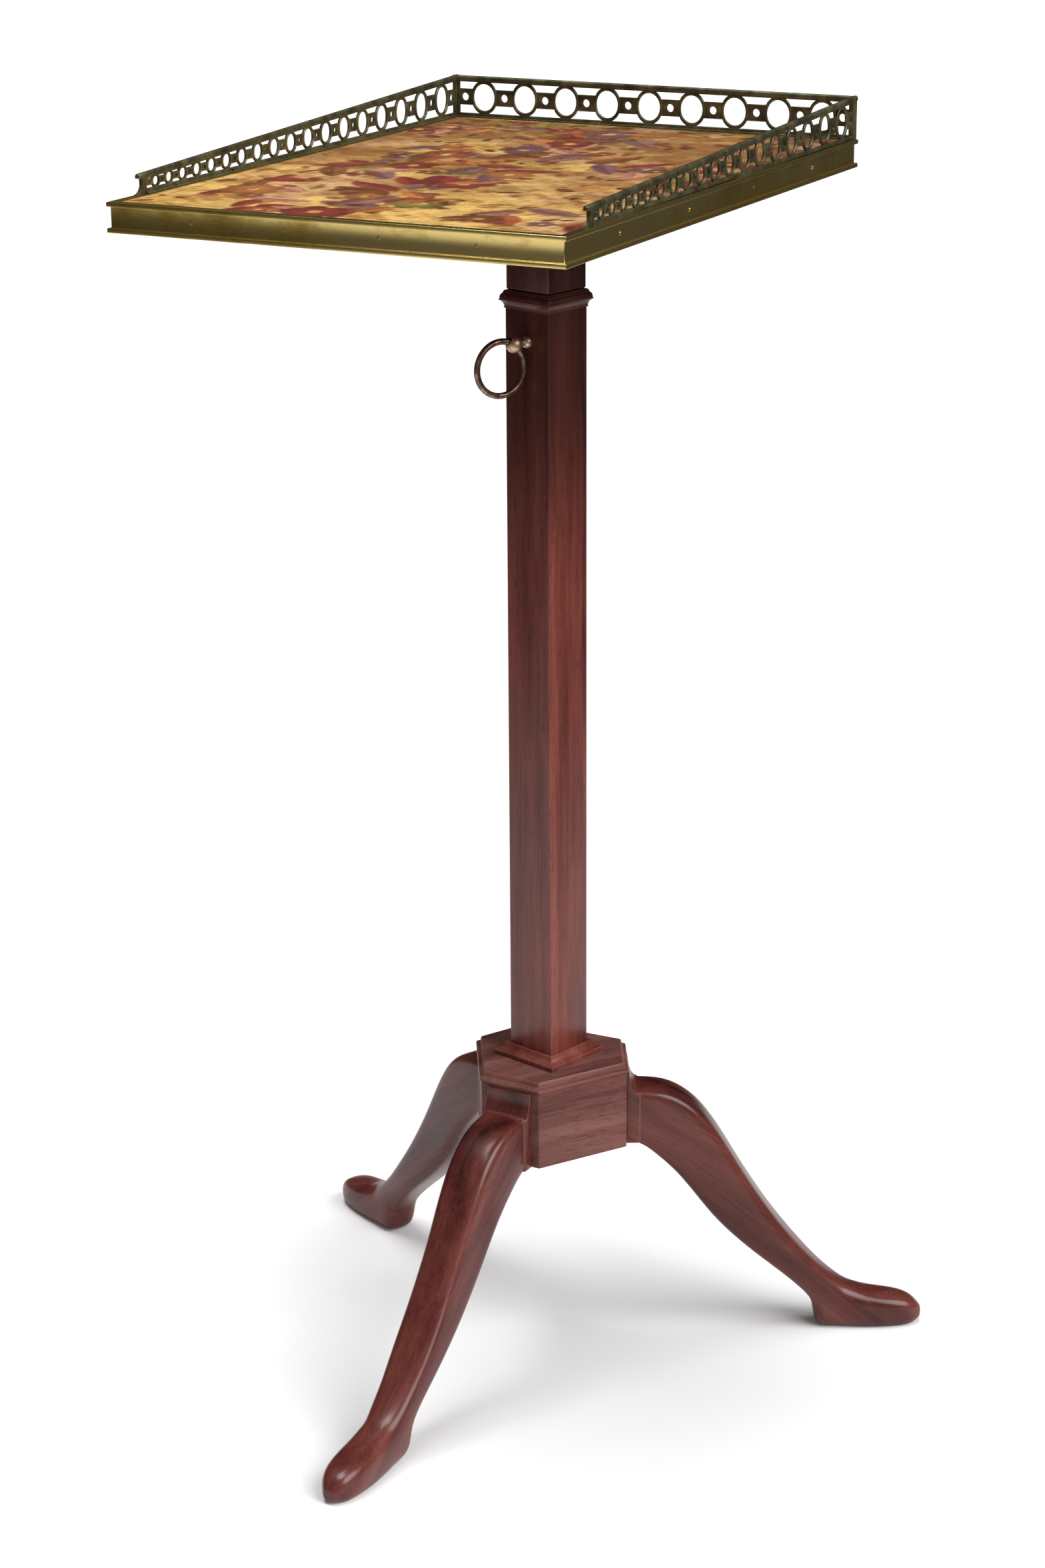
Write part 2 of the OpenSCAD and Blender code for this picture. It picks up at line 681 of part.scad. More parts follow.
module band_back() { color(brass) rotate([0, 0, 180]) band(top_w, top_d / 2); }
module band_left() { color(brass) rotate([0, 0, -90]) band(top_d, top_w / 2); }
module band_right() { color(brass) rotate([0, 0, 90]) band(top_d, top_w / 2); }
module band_pins() {
    color(brass) for (q = [0 : 90 : 270]) {
        length = q % 180 == 0 ? top_w : top_d;
        reach = q % 180 == 0 ? top_d / 2 : top_w / 2;
        rotate([0, 0, q]) for (x = band_pin_places(length))
            translate([x, -reach + lip_out, top_z + band_h / 2]) rotate([-90, 0, 0]) {
                cylinder(h = band_t - lip_out, d = band_pin_d);
                translate([0, 0, -0.6]) cylinder(h = 0.6, d = 2.6);
            }
    }
}

// Gallery. Each strip is drawn flat, x along the strip from its back or left end and
// y upwards from the band
gal_x = top_w / 2 - gal_inset - post_w;
gal_y_back = top_d / 2 - gal_inset - post_w;
gal_y_front = -top_d / 2 + gal_gap;
back_len = 2 * gal_x;
side_len = gal_y_back - gal_y_front - post_w;
fret_top = gal_back_h - rail_h;
fret_low = gal_front_h - rail_h;
fret_clear = flange_t + fret_base;
full_cell = back_len / (back_cells + 0.3);
oval_rows = 10;

// Height of the pierced strip at distance s along a side
function side_top(s) = fret_top + (fret_low - fret_top) * s / side_len;
function back_top(s) = fret_top;

// Width of a first side cell whose row just fills the side
side_first = (side_len - 0.3 * full_cell) * (1 - side_ratio) / (1 - pow(side_ratio, side_cells));
function side_edge(k) = 0.15 * full_cell
    + side_first * (1 - pow(side_ratio, k)) / (1 - side_ratio);
function back_edge(k) = (k + 0.15) * full_cell;

// A cell is its middle, its width and the height of the strip there
function side_cell(k) = let (m = (side_edge(k) + side_edge(k + 1)) / 2)
    [m, side_edge(k + 1) - side_edge(k), side_top(m)];
function back_cell(k) = [(back_edge(k) + back_edge(k + 1)) / 2, full_cell, fret_top];

function cell_scale(c) = (c[2] - fret_clear) / (fret_top - fret_clear);
function cell_mid(c) = (c[2] + fret_clear) / 2;
function cell_b(c) = (c[2] - fret_clear) / 2;
function cell_a(c) = c[1] * oval_share / 2;
function cell_wall(c) = oval_wall * (0.45 + 0.55 * cell_scale(c));
function oval_point(c, a, b, t) = [c[0] + a * cos(t), cell_mid(c) + b * sin(t)];

module oval_opening(c) {
    w = cell_wall(c);
    polygon([for (t = [0 : 15 : 345]) oval_point(c, cell_a(c) - w, cell_b(c) - 1.2 * w, t)]);
}
// Opening above (up = 1) or below (up = -1) the link between two cells
module gap_opening(c, d, up) {
    link = link_w * (cell_scale(c) + cell_scale(d)) / 4;
    low = asin(min(0.9, link / cell_b(c)));
    step = (76 - low) / 4;
    polygon(concat(
        [for (i = [0 : 4]) oval_point(c, cell_a(c), cell_b(c), up * (low + i * step))],
        [for (i = [4 : -1 : 0]) oval_point(d, cell_a(d), cell_b(d), up * (180 - low - i * step))]));
}
module link_opening(c, d) {
    translate([(c[0] + cell_a(c) + d[0] - cell_a(d)) / 2, (cell_mid(c) + cell_mid(d)) / 2])
        circle(d = link_hole_d * (cell_scale(c) + cell_scale(d)) / 2, $fn = 24);
}
module between(c, d) {
    gap_opening(c, d, 1);
    gap_opening(c, d, -1);
    link_opening(c, d);
}
// A cell past the strip's end, so that a link stands between the end and the cell beside it
function past_end(c, edge, s, length, tops) = let (x = edge + s * cell_a(c))
    [x, c[1], tops[0] + (tops[1] - tops[0]) * x / length];
end_bar = 1.6;
module fret(cells, length, tops) {
    first = cells[0];
    last = cells[len(cells) - 1];
    difference() {
        polygon([[0, 0], [length, 0], [length, tops[1]], [0, tops[0]]]);
        for (c = cells) oval_opening(c);
        for (k = [0 : len(cells) - 2]) between(cells[k], cells[k + 1]);
        intersection() {
            union() {
                between(past_end(first, end_bar, -1, length, tops), first);
                between(last, past_end(last, length - end_bar, 1, length, tops));
            }
            translate([end_bar, 0]) square([length - 2 * end_bar, 2 * gal_back_h]);
        }
    }
}
module gallery_strip(cells, length, tops, screws, inset = 0) {
    difference() {
        union() {
            rotate([90, 0, 0]) translate([0, 0, -fret_t / 2]) linear_extrude(fret_t)
                fret(cells, length, tops);
            translate([inset, fret_t / 2 - flange_w, 0]) cube([length - 2 * inset, flange_w, flange_t]);
        }
        for (x = screws) translate([x, gal_screw_in, -1]) cylinder(h = flange_t + 2, d = 1.4);
    }
}
gal_screw_in = fret_t / 2 - flange_w + 1.2;
function spread(length, n) = [for (k = [0 : n - 1]) (k + 0.5) * length / n];
side_screws = 6;
back_screws = 4;
back_line = gal_y_back + post_w / 2;
side_line = gal_x + post_w / 2;

// Places a strip's drawing frame: along the back, and along each side from the back
module on_back() { translate([-gal_x, back_line, rim_z]) children(); }
module on_left() {
    translate([-side_line, gal_y_back, rim_z]) rotate([0, 0, -90]) mirror([0, 1, 0]) children();
}
module on_right() { mirror([1, 0, 0]) on_left() children(); }

back_cells_list = [for (k = [0 : back_cells - 1]) back_cell(k)];
side_cells_list = [for (k = [0 : side_cells - 1]) side_cell(k)];
module gallery_back() {
    color(brass) on_back()
        gallery_strip(back_cells_list, back_len, [fret_top, fret_top], spread(back_len, back_screws),
            flange_w - fret_t / 2 - post_w / 2);
}
module side_strip() {
    gallery_strip(side_cells_list, side_len, [side_top(0), side_top(side_len)],
        spread(side_len, side_screws));
}
module gallery_left() { color(brass) on_left() side_strip(); }
module gallery_right() { color(brass) on_right() side_strip(); }
module small_screws(xs) {
    for (x = xs) translate([x, gal_screw_in, 0]) {
        cylinder(h = flange_t, d = 1.4);
        translate([0, 0, flange_t]) cylinder(h = 0.8, d = 2.2);
    }
}
module gallery_screws() {
    color(brass) {
        on_back() small_screws(spread(back_len, back_screws));
        on_left() small_screws(spread(side_len, side_screws));
        on_right() small_screws(spread(side_len, side_screws));
    }
}

// Rails: a rounded bar on the strips, mitred at the back corners
module rail_section() {
    r = 1.2;
    translate([-rail_w / 2, 0]) square([rail_w, rail_h - r]);
    translate([-rail_w / 2 + r, 0]) square([rail_w - 2 * r, rail_h]);
    for (s = [-1, 1]) translate([s * (rail_w / 2 - r), rail_h - r]) circle(r);
}
module rail_bar(length) { rotate([90, 0, 90]) linear_extrude(length) rail_section(); }
rail_x = side_line;
side_slope = atan((fret_top - fret_low) / side_len);
module rail_back() {
    end = side_line + rail_w / 2;
    color(brass) difference() {
        translate([-end, back_line, rim_z + fret_top]) rail_bar(2 * end);
        for (s = [-1, 1]) translate([s * end, back_line + rail_w / 2, rim_z + fret_top - 1])
            linear_extrude(rail_h + 2) polygon([[0, 0], [s, 0], [s, -2 * rail_w], [-s * rail_w, -rail_w]]);
    }
}
module side_rail() {
    ahead = post_w / 2 + rail_w / 2;
    run = side_len + post_w + rail_over;
    color(brass) difference() {
        translate([0, 0, fret_top]) rotate([0, side_slope, 0])
            translate([-ahead - 1, 0, 0]) rail_bar((run + ahead) / cos(side_slope) + 1);
        translate([-ahead, -rail_w / 2, 0]) linear_extrude(2 * gal_back_h)
            polygon([[rail_w, 0], [rail_w, -5], [-10, -5], [-10, rail_w + 5], [0, rail_w + 5], [0, rail_w]]);
    }
}
module rail_left() { on_left() side_rail(); }
module rail_right() { on_right() side_rail(); }

// Posts at the back corners and, with a small curved foot, at the front ends
module back_post() {
    color(brass) translate([gal_x, gal_y_back, rim_z]) cube([post_w, post_w, fret_top]);
}
module post_back_right() { difference() { back_post(); on_right() rail_clear(); } }
module post_back_left() { mirror([1, 0, 0]) post_back_right(); }
// Space over the side rail's underside, so a post stops below the rail
module rail_clear() {
    translate([0, 0, fret_top]) rotate([0, side_slope, 0]) translate([-20, -10, 0])
        cube([side_len + 60, 20, 20]);
}
module front_post() {
    foot = 8;
    color(brass) difference() {
        union() {
            translate([side_len, -post_w / 2, 0]) cube([post_w, post_w, fret_top]);
            translate([side_len + post_w, fret_t / 2, 0]) rotate([90, 0, 0]) linear_extrude(fret_t)
                difference() {
                    square([foot, foot * 0.8]);
                    translate([foot, foot * 0.8 + 0.8]) circle(foot * 0.8);
                    translate([foot - 0.5, 0.8]) square([foot, foot]);
                }
        }
        rail_clear();
    }
}
module post_front_left() { on_left() front_post(); }
module post_front_right() { on_right() front_post(); }

// Iron strap under the block, one arm to each leg, and its screws
strap_screw_r = 34;
strap_screw_len = 14;
strap_w = 16;
module strap_hole(z, h) { translate([0, -strap_screw_r, z]) cylinder(h = h, d = 3.4); }
module leg_strap() {
    color(iron) at_column() difference() {
        union() {
            for (t = leg_turns) rotate([0, 0, t]) translate([-strap_w / 2, -block_leg_r + 6, block_z - strap_t])
                cube([strap_w, block_leg_r - 6, strap_t]);
            translate([0, 0, block_z - strap_t]) cylinder(h = strap_t, d = strap_w * 1.6);
        }
        for (t = leg_turns) rotate([0, 0, t]) strap_hole(block_z - strap_t - 1, strap_t + 2);
    }
}
module strap_screws() {
    color(iron) at_column() for (t = leg_turns) rotate([0, 0, t]) {
        strap_hole(block_z - strap_t, strap_t + strap_screw_len);
        translate([0, -strap_screw_r, block_z - strap_t - 1.6]) cylinder(h = 1.6, d = 7);
    }
}

leg_front();
leg_right();
leg_left();
base_block();
block_cap();
column_foot_moulding();
leg_strap();
strap_screws();
column_board_front();
column_board_back();
column_board_left();
column_board_right();
column_plug();
collar();
mouth_bush();
catch_rose();
catch_spring();
spring_screws();
catch_bolt();
ring_pull();
shaft();
stop_strip();
strip_pins();
shaft_shoe();
head_block();
swivel_lower();
swivel_lower_screws();
swivel_pin();
swivel_upper();
swivel_upper_screws();
swivel_washer();
bearer();
bearer_screws();
tray_core();
tray_panel();
band_front();
band_back();
band_left();
band_right();
band_pins();
gallery_back();
gallery_left();
gallery_right();
gallery_screws();
rail_back();
rail_left();
rail_right();
post_back_left();
post_back_right();
post_front_left();
post_front_right();
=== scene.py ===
import math
import random

import bmesh
import bpy
import numpy as np
from mathutils import Matrix, Vector


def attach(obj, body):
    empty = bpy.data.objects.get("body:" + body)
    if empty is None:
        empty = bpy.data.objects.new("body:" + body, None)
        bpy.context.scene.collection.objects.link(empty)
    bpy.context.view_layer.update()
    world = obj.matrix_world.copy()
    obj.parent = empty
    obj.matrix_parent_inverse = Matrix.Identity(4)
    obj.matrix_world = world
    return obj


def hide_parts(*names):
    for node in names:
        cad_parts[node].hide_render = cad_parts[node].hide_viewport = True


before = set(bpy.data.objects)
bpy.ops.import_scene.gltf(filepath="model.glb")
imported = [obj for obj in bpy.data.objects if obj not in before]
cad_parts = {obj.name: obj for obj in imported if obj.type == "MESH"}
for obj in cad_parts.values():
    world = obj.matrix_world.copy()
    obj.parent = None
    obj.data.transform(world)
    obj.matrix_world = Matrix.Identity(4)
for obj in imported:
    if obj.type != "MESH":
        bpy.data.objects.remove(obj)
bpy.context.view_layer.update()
mm = 0.001
columnY = 68 * mm  # the column's axis is this far behind the middle of the tray
columnTurn = -15  # degrees between the column's faces and the tray's edges
columnFoot = (0, columnY, 0)


# Colours and nodes

def srgbTriple(hexText):
    return np.array([int(hexText[i:i + 2], 16) / 255 for i in (1, 3, 5)])


def toLinear(shade):
    return np.where(shade <= 0.04045, shade / 12.92, ((shade + 0.055) / 1.055) ** 2.4)


def linearColour(hexText):
    return tuple(toLinear(srgbTriple(hexText))) + (1.0,)


# One shader node, with its settings, its inputs as values or as links, and a ramp's stops
def addNode(tree, kind, settings=None, inputs=None, stops=None):
    node = tree.nodes.new("ShaderNode" + kind)
    for key, value in (settings or {}).items():
        setattr(node, key, value)
    for key, value in (inputs or {}).items():
        if isinstance(value, bpy.types.NodeSocket):
            tree.links.new(value, node.inputs[key])
        else:
            node.inputs[key].default_value = value
    if stops:
        elements = node.color_ramp.elements
        while len(elements) < len(stops):
            elements.new(0.5)
        for element, (place, colour) in zip(elements, stops):
            element.position = place
            element.color = linearColour(colour) if isinstance(colour, str) else (colour, colour, colour, 1)
    return node


# An empty material, its tree, and each point's place in metres to build on
def newMaterial(name):
    material = bpy.data.materials.new(name)
    material.use_nodes = True
    tree = material.node_tree
    tree.nodes.clear()
    return material, tree, addNode(tree, "TexCoord").outputs["Object"]


def finishMaterial(tree, shader):
    addNode(tree, "OutputMaterial", inputs={"Surface": shader.outputs[0]})


# Mesh tools, all on the active piece

def deselectAll():
    bpy.ops.object.select_all(action="DESELECT")


def editMesh():
    bpy.ops.object.mode_set(mode="EDIT")
    bpy.ops.mesh.select_all(action="SELECT")


def leaveMesh():
    bpy.ops.object.mode_set(mode="OBJECT")


def applyPlace():
    bpy.ops.object.transform_apply(location=True, rotation=True, scale=True)


# Merges what lies together and turns every face outwards
def closeMesh(nearest):
    bpy.ops.mesh.select_all(action="SELECT")
    bpy.ops.mesh.remove_doubles(threshold=nearest)
    bpy.ops.mesh.normals_make_consistent(inside=False)
    leaveMesh()


def makeActive(*pieces):
    deselectAll()
    for piece in pieces:
        piece.select_set(True)
    bpy.context.view_layer.objects.active = pieces[0]


def named(name):
    piece = bpy.context.active_object
    piece.name = name
    piece.data.name = name
    return piece


# Selects, in edit mode, the parts of a kind that pass the test
def pick(piece, test, kind="FACE"):
    bpy.ops.mesh.select_mode(type=kind)
    bpy.ops.mesh.select_all(action="DESELECT")
    mesh = bmesh.from_edit_mesh(piece.data)
    for part in {"VERT": mesh.verts, "EDGE": mesh.edges, "FACE": mesh.faces}[kind]:
        if test(part):
            part.select_set(True)
    mesh.select_flush_mode()
    bmesh.update_edit_mesh(piece.data)


def applyModifier(piece, kind, **settings):
    makeActive(piece)
    modifier = piece.modifiers.new(kind.lower(), kind)
    for key, value in settings.items():
        setattr(modifier, key, value)
    bpy.ops.object.modifier_apply(modifier=modifier.name)


def settlePiece(piece, smoothAngle=35):
    makeActive(piece)
    applyPlace()
    editMesh()
    closeMesh(0.01 * mm)
    bpy.ops.object.shade_smooth_by_angle(angle=math.radians(smoothAngle))


# Sets a piece that was drawn about the upright axis on the column's own
def placeAt(piece, turn):
    turning = Matrix.Rotation(math.radians(turn), 4, "Z")
    piece.matrix_world = Matrix.Translation(columnFoot) @ turning @ piece.matrix_world
    makeActive(piece)
    applyPlace()


# A closed outline turned about the vertical axis: four steps make a square moulding,
# many make a round one. Points are (distance from the axis or side, height).
def turned(name, outline, steps, corner=False):
    deselectAll()
    bpy.ops.mesh.primitive_circle_add(vertices=len(outline), radius=1)
    piece = named(name)
    grow = math.sqrt(2) if corner else 1
    angle = math.pi / 4 if corner else 0
    for vertex, (out, up) in zip(piece.data.vertices, outline):
        vertex.co = (out * grow * math.cos(angle), out * grow * math.sin(angle), up)
    editMesh()
    bpy.ops.mesh.spin(steps=steps, angle=2 * math.pi, center=(0, 0, 0), axis=(0, 0, 1))
    closeMesh(0.005 * mm)
    return piece


# Pulls the four quarters of a square moulding apart into a rectangle
def pullApart(piece, halfX, halfY):
    makeActive(piece)
    editMesh()
    for test, shift in ((lambda v: v.co.x > 0, (halfX, 0, 0)), (lambda v: v.co.x < 0, (-halfX, 0, 0)),
                        (lambda v: v.co.y > 0, (0, halfY, 0)), (lambda v: v.co.y < 0, (0, -halfY, 0))):
        pick(piece, test, "VERT")
        bpy.ops.transform.translate(value=shift)
    leaveMesh()


def bevelEdges(piece, width, segments=3, angle=30):
    applyModifier(piece, "BEVEL", width=width, segments=segments, limit_method="ANGLE",
                  angle_limit=math.radians(angle))


def planedBlock(name, size, centre, edge):
    deselectAll()
    bpy.ops.mesh.primitive_cube_add(size=1, location=centre, scale=size)
    piece = named(name)
    applyPlace()
    bevelEdges(piece, edge)
    return piece


# Settles a piece, gives it its material, fixes it to its body and hides the CAD nodes it stands for
def finishPiece(piece, body, material, nodes, smoothAngle=35):
    settlePiece(piece, smoothAngle)
    piece.data.materials.clear()
    piece.data.materials.append(material)
    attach(piece, body)
    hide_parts(*nodes)


print("camera")
cameraSize = {
    "place": (1.1147, -2.1675, 1.3089),
    "heading": 26.96,  # degrees to the left of straight back
    "downTilt": 18.474,
    "roll": -0.348,
    "lens": 76.81,
    "sensor": 36,
    "farthest": 50,
}
bpy.ops.object.camera_add(location=cameraSize["place"])
camera = bpy.context.active_object
camera.rotation_mode = "QUATERNION"
camera.rotation_quaternion = (
    Matrix.Rotation(math.radians(cameraSize["heading"]), 3, "Z")
    @ Matrix.Rotation(math.radians(90 - cameraSize["downTilt"]), 3, "X")
    @ Matrix.Rotation(math.radians(cameraSize["roll"]), 3, "Z")).to_quaternion()
camera.data.lens = cameraSize["lens"]
camera.data.sensor_width = cameraSize["sensor"]
camera.data.clip_end = cameraSize["farthest"]
bpy.context.scene.camera = camera
bpy.context.scene.view_settings.view_transform = "Standard"


print("materials")


# How much an edge has been rubbed: 0 on a flat, up to most on an arris
def rubbedEdge(tree, radius, most):
    softNormal = addNode(tree, "Bevel", {"samples": 4}, {"Radius": radius}).outputs[0]
    trueNormal = addNode(tree, "NewGeometry").outputs["Normal"]
    edgeDot = addNode(tree, "VectorMath", {"operation": "DOT_PRODUCT"},
                      {0: softNormal, 1: trueNormal}).outputs["Value"]
    return addNode(tree, "MapRange", inputs={
        "Value": edgeDot, "From Min": 0.995, "From Max": 0.88, "To Min": 0.0, "To Max": most}).outputs[0]


# Noise whose scale differs along the three axes, in waves to the metre
def stretchedNoise(tree, place, scale, detail):
    stretched = addNode(tree, "Mapping", inputs={"Vector": place, "Scale": scale}).outputs[0]
    return addNode(tree, "TexNoise", inputs={
        "Vector": stretched, "Scale": 1.0, "Detail": detail}).outputs["Fac"]


# Cuban mahogany, planed, stained red-brown and waxed: fine dark pores along the grain, a
# broad ribbon figure across it, a soft sheen with paler rubbed edges.
# Tilt and turn lay the grain along the piece. Where a height range is given, the wood is
# darkened with painted shade from the first height up to the second, down to the third value,
# for the tray's shadow on the column. Shine tells how much wax is left.
def waxedMahogany(name, turn, tilt=0, dark="#431A16", mid="#7A3C33", light="#9A5649",
                  pore="#2E100E", paleEdge="#A86A58", shadeUnderTray=None, shine=1.0):
    material, tree, place = newMaterial(name)
    shifted = addNode(tree, "VectorMath", {"operation": "SUBTRACT"}, {
        0: place, 1: columnFoot}).outputs[0]
    aligned = addNode(tree, "Mapping", {"vector_type": "TEXTURE"}, {
        "Vector": shifted, "Rotation": (math.radians(tilt), 0, math.radians(turn))}).outputs[0]
    wavy = addNode(tree, "TexNoise", inputs={
        "Vector": aligned, "Scale": 9.0, "Detail": 1.0}).outputs["Color"]
    bent = addNode(tree, "VectorMath", {"operation": "MULTIPLY_ADD"}, {
        0: wavy, 1: (0.012, 0.012, 0.0), 2: aligned}).outputs[0]
    # Ribbons near 18 mm wide, lines 2 mm apart and pores drawn 0.7 mm wide, all drawn out along the grain
    ribbon = stretchedNoise(tree, bent, (55, 55, 3), 3.0)
    lines = stretchedNoise(tree, bent, (520, 520, 9), 2.0)
    pores = stretchedNoise(tree, bent, (1500, 1500, 90), 1.0)
    figure = addNode(tree, "Math", {"operation": "MULTIPLY_ADD"}, {0: lines, 1: 0.35, 2: ribbon}).outputs[0]
    wood = addNode(tree, "ValToRGB", inputs={"Fac": figure},
                   stops=[(0.36, dark), (0.64, mid), (0.95, light)]).outputs["Color"]
    poreShade = addNode(tree, "ValToRGB", inputs={"Fac": pores},
                        stops=[(0.30, 0.55), (0.40, 0.0)]).outputs["Color"]
    pored = addNode(tree, "Mix", {"data_type": "RGBA"}, {
        0: poreShade, 6: wood, 7: linearColour(pore)}).outputs[2]
    cloud = addNode(tree, "TexNoise", inputs={"Vector": shifted, "Scale": 7.0, "Detail": 2.0}).outputs["Fac"]
    fade = addNode(tree, "MapRange", inputs={
        "Value": cloud, "From Min": 0.3, "From Max": 0.7, "To Min": 0.86, "To Max": 1.16}).outputs[0]
    faded = addNode(tree, "VectorMath", {"operation": "SCALE"}, {0: pored, "Scale": fade}).outputs[0]
    # Painted shade: darker towards the top, standing in for the tray's shadow
    if shadeUnderTray:
        height = addNode(tree, "SeparateXYZ", inputs={"Vector": place}).outputs["Z"]
        trayShade = addNode(tree, "MapRange", {"interpolation_type": "SMOOTHSTEP"}, {
            "Value": height, "From Min": shadeUnderTray[0], "From Max": shadeUnderTray[1],
            "To Min": 1.0, "To Max": shadeUnderTray[2]}).outputs[0]
        faded = addNode(tree, "VectorMath", {"operation": "SCALE"}, {0: faded, "Scale": trayShade}).outputs[0]
    rubbed = addNode(tree, "Mix", {"data_type": "RGBA"}, {
        0: rubbedEdge(tree, 0.0016, 0.55), 6: faded, 7: linearColour(paleEdge)}).outputs[2]
    sheen = addNode(tree, "MapRange", inputs={
        "Value": cloud, "From Min": 0.3, "From Max": 0.7, "To Min": 0.24, "To Max": 0.36}).outputs[0]
    bump = addNode(tree, "Bump", inputs={"Strength": 0.12, "Distance": 0.0003, "Height": pores}).outputs[0]
    finishMaterial(tree, addNode(tree, "BsdfPrincipled", inputs={
        "Base Color": rubbed, "Roughness": sheen, "IOR": 1.5, "Specular IOR Level": 0.32 * shine,
        "Normal": bump, "Coat Weight": 0.25 * shine, "Coat Roughness": 0.18}))
    return material


# Old brass, rolled or cast, its lacquer long gone. Tarnish lies in clouds, handling leaves
# the proud edges paler, and fine scratches run along the bar. Where given, a painted highlight
# lifts the metal's tone about one point. Bare is the share of open metal; the rest is under dull oxide.
def agedBrass(name, pale, mid, dark, rough, cloudSize, edgeColour="#C9B77A", edge=0.6, along=(1, 1, 1),
              paintedHighlight=None, bare=1.0):
    material, tree, place = newMaterial(name)
    cloud = addNode(tree, "TexNoise", inputs={
        "Vector": place, "Scale": cloudSize, "Detail": 5.0, "Roughness": 0.62}).outputs["Fac"]
    # Scratches near 1 mm apart, drawn out along the bar
    scratches = stretchedNoise(tree, place, tuple(900 / a for a in along), 2.0)
    mixed = addNode(tree, "Math", {"operation": "MULTIPLY_ADD"}, {0: scratches, 1: 0.25, 2: cloud}).outputs[0]
    # Painted highlight: the brass is made paler round one point
    if paintedHighlight:
        away = addNode(tree, "VectorMath", {"operation": "DISTANCE"}, {
            0: place, 1: paintedHighlight["centre"]}).outputs["Value"]
        lift = addNode(tree, "MapRange", {"interpolation_type": "SMOOTHSTEP"}, {
            "Value": away, "From Min": paintedHighlight["near"], "From Max": paintedHighlight["far"],
            "To Min": paintedHighlight["lift"], "To Max": 0.0}).outputs[0]
        mixed = addNode(tree, "Math", {"operation": "ADD"}, {0: mixed, 1: lift}).outputs[0]
    metal = addNode(tree, "ValToRGB", inputs={"Fac": mixed},
                    stops=[(0.46, dark), (0.62, mid), (0.80, pale)]).outputs["Color"]
    rubbed = addNode(tree, "Mix", {"data_type": "RGBA"}, {
        0: rubbedEdge(tree, 0.0009, edge), 6: metal, 7: linearColour(edgeColour)}).outputs[2]
    dull = addNode(tree, "MapRange", inputs={
        "Value": mixed, "From Min": 0.45, "From Max": 0.8,
        "To Min": rough + 0.14, "To Max": rough - 0.08}).outputs[0]
    bump = addNode(tree, "Bump", inputs={"Strength": 0.15, "Distance": 0.0002, "Height": mixed}).outputs[0]
    finishMaterial(tree, addNode(tree, "BsdfPrincipled", inputs={
        "Base Color": rubbed, "Metallic": bare, "Roughness": dull, "Normal": bump}))
    return material


# Plain stuff for what hardly shows: stained pine, blackened iron, hide
def plainFinish(name, low, high, rough, metallic, scale, relief):
    material, tree, place = newMaterial(name)
    cloud = stretchedNoise(tree, place, scale, 4.0)
    colour = addNode(tree, "ValToRGB", inputs={"Fac": cloud},
                     stops=[(0.3, low), (0.7, high)]).outputs["Color"]
    bump = addNode(tree, "Bump", inputs={"Strength": 0.3, "Distance": relief, "Height": cloud}).outputs[0]
    finishMaterial(tree, addNode(tree, "BsdfPrincipled", inputs={
        "Base Color": colour, "Metallic": metallic, "Roughness": rough, "Normal": bump}))
    return material


# The column and its head are darkened towards the top with painted shade for the tray's shadow; the shaft
# inside is not
columnMahogany = waxedMahogany("mahoganyColumn", columnTurn, shadeUnderTray=(0.60, 0.80, 0.40))
shaftMahogany = waxedMahogany("mahoganyShaft", columnTurn)
# Block and cap: the wood's own tone with a painted sheen, paler and greyer, in place of the shine turned down
blockMahoganyPaintedSheen = waxedMahogany("mahoganyBlockPaintedSheen", 147, 90, "#442622", "#784C46", "#92645C", shine=0.4)
legTurns = {"front": -3.5, "right": 118, "left": 242.5}
legMahogany = {side: waxedMahogany("mahoganyLeg_" + side, turn, -52, "#2C100E", "#5E2A25", "#7C4238")
               for side, turn in legTurns.items()}
# Painted highlight: the band is paler round its corner nearest the camera
cornerHighlight = {"centre": (0.175, -0.254, 0.953), "near": 0.02, "far": 0.34, "lift": 0.24}
bandBrass = agedBrass("brassBand", "#E4CA80", "#BA9E50", "#8C743E", 0.34, 22,
                      along=(8, 8, 1), paintedHighlight=cornerHighlight)
galleryBrass = agedBrass("brassGalleryPatina", "#7E7858", "#57533A", "#34301F", 0.42, 70,
                         "#A79E70", 0.45, bare=0.6)
pullBrass = agedBrass("brassPull", "#C8A68C", "#86685A", "#3C2A24", 0.28, 120, "#E8D0BC", 0.4)
ballBrass = agedBrass("brassBall", "#F4DCBE", "#D2B08C", "#7A5C46", 0.42, 120, "#F6E4CC", 0.5)
fittingBrass = agedBrass("brassFittings", "#A8904E", "#80693A", "#4E3D22", 0.42, 60)
stainedPine = plainFinish("stainedPine", "#2E1812", "#4A2A1E", 0.62, 0.0, (30, 400, 400), 0.0002)
blackIron = plainFinish("blackenedIron", "#2A2826", "#4C4845", 0.55, 1.0, (300, 300, 300), 0.0001)
oiledHide = plainFinish("oiledHide", "#3A2A1C", "#5E4630", 0.7, 0.0, (500, 500, 500), 0.0003)


def joinPieces(name, pieces):
    makeActive(*pieces)
    bpy.ops.object.join()
    return named(name)


# A skin over rings of equal length, closed round and capped at both ends
def sweptSkin(name, rings):
    around = len(rings[0])
    deselectAll()
    bpy.ops.mesh.primitive_grid_add(x_subdivisions=around, y_subdivisions=len(rings) - 1, size=1)
    piece = named(name)
    for row, ring in enumerate(rings):
        for column in range(around + 1):
            piece.data.vertices[row * (around + 1) + column].co = ring[column % around]
    editMesh()
    bpy.ops.mesh.remove_doubles(threshold=0.002 * mm)
    pick(piece, lambda edge: edge.is_boundary, "EDGE")
    bpy.ops.mesh.edge_face_add()
    closeMesh(0.002 * mm)
    return piece


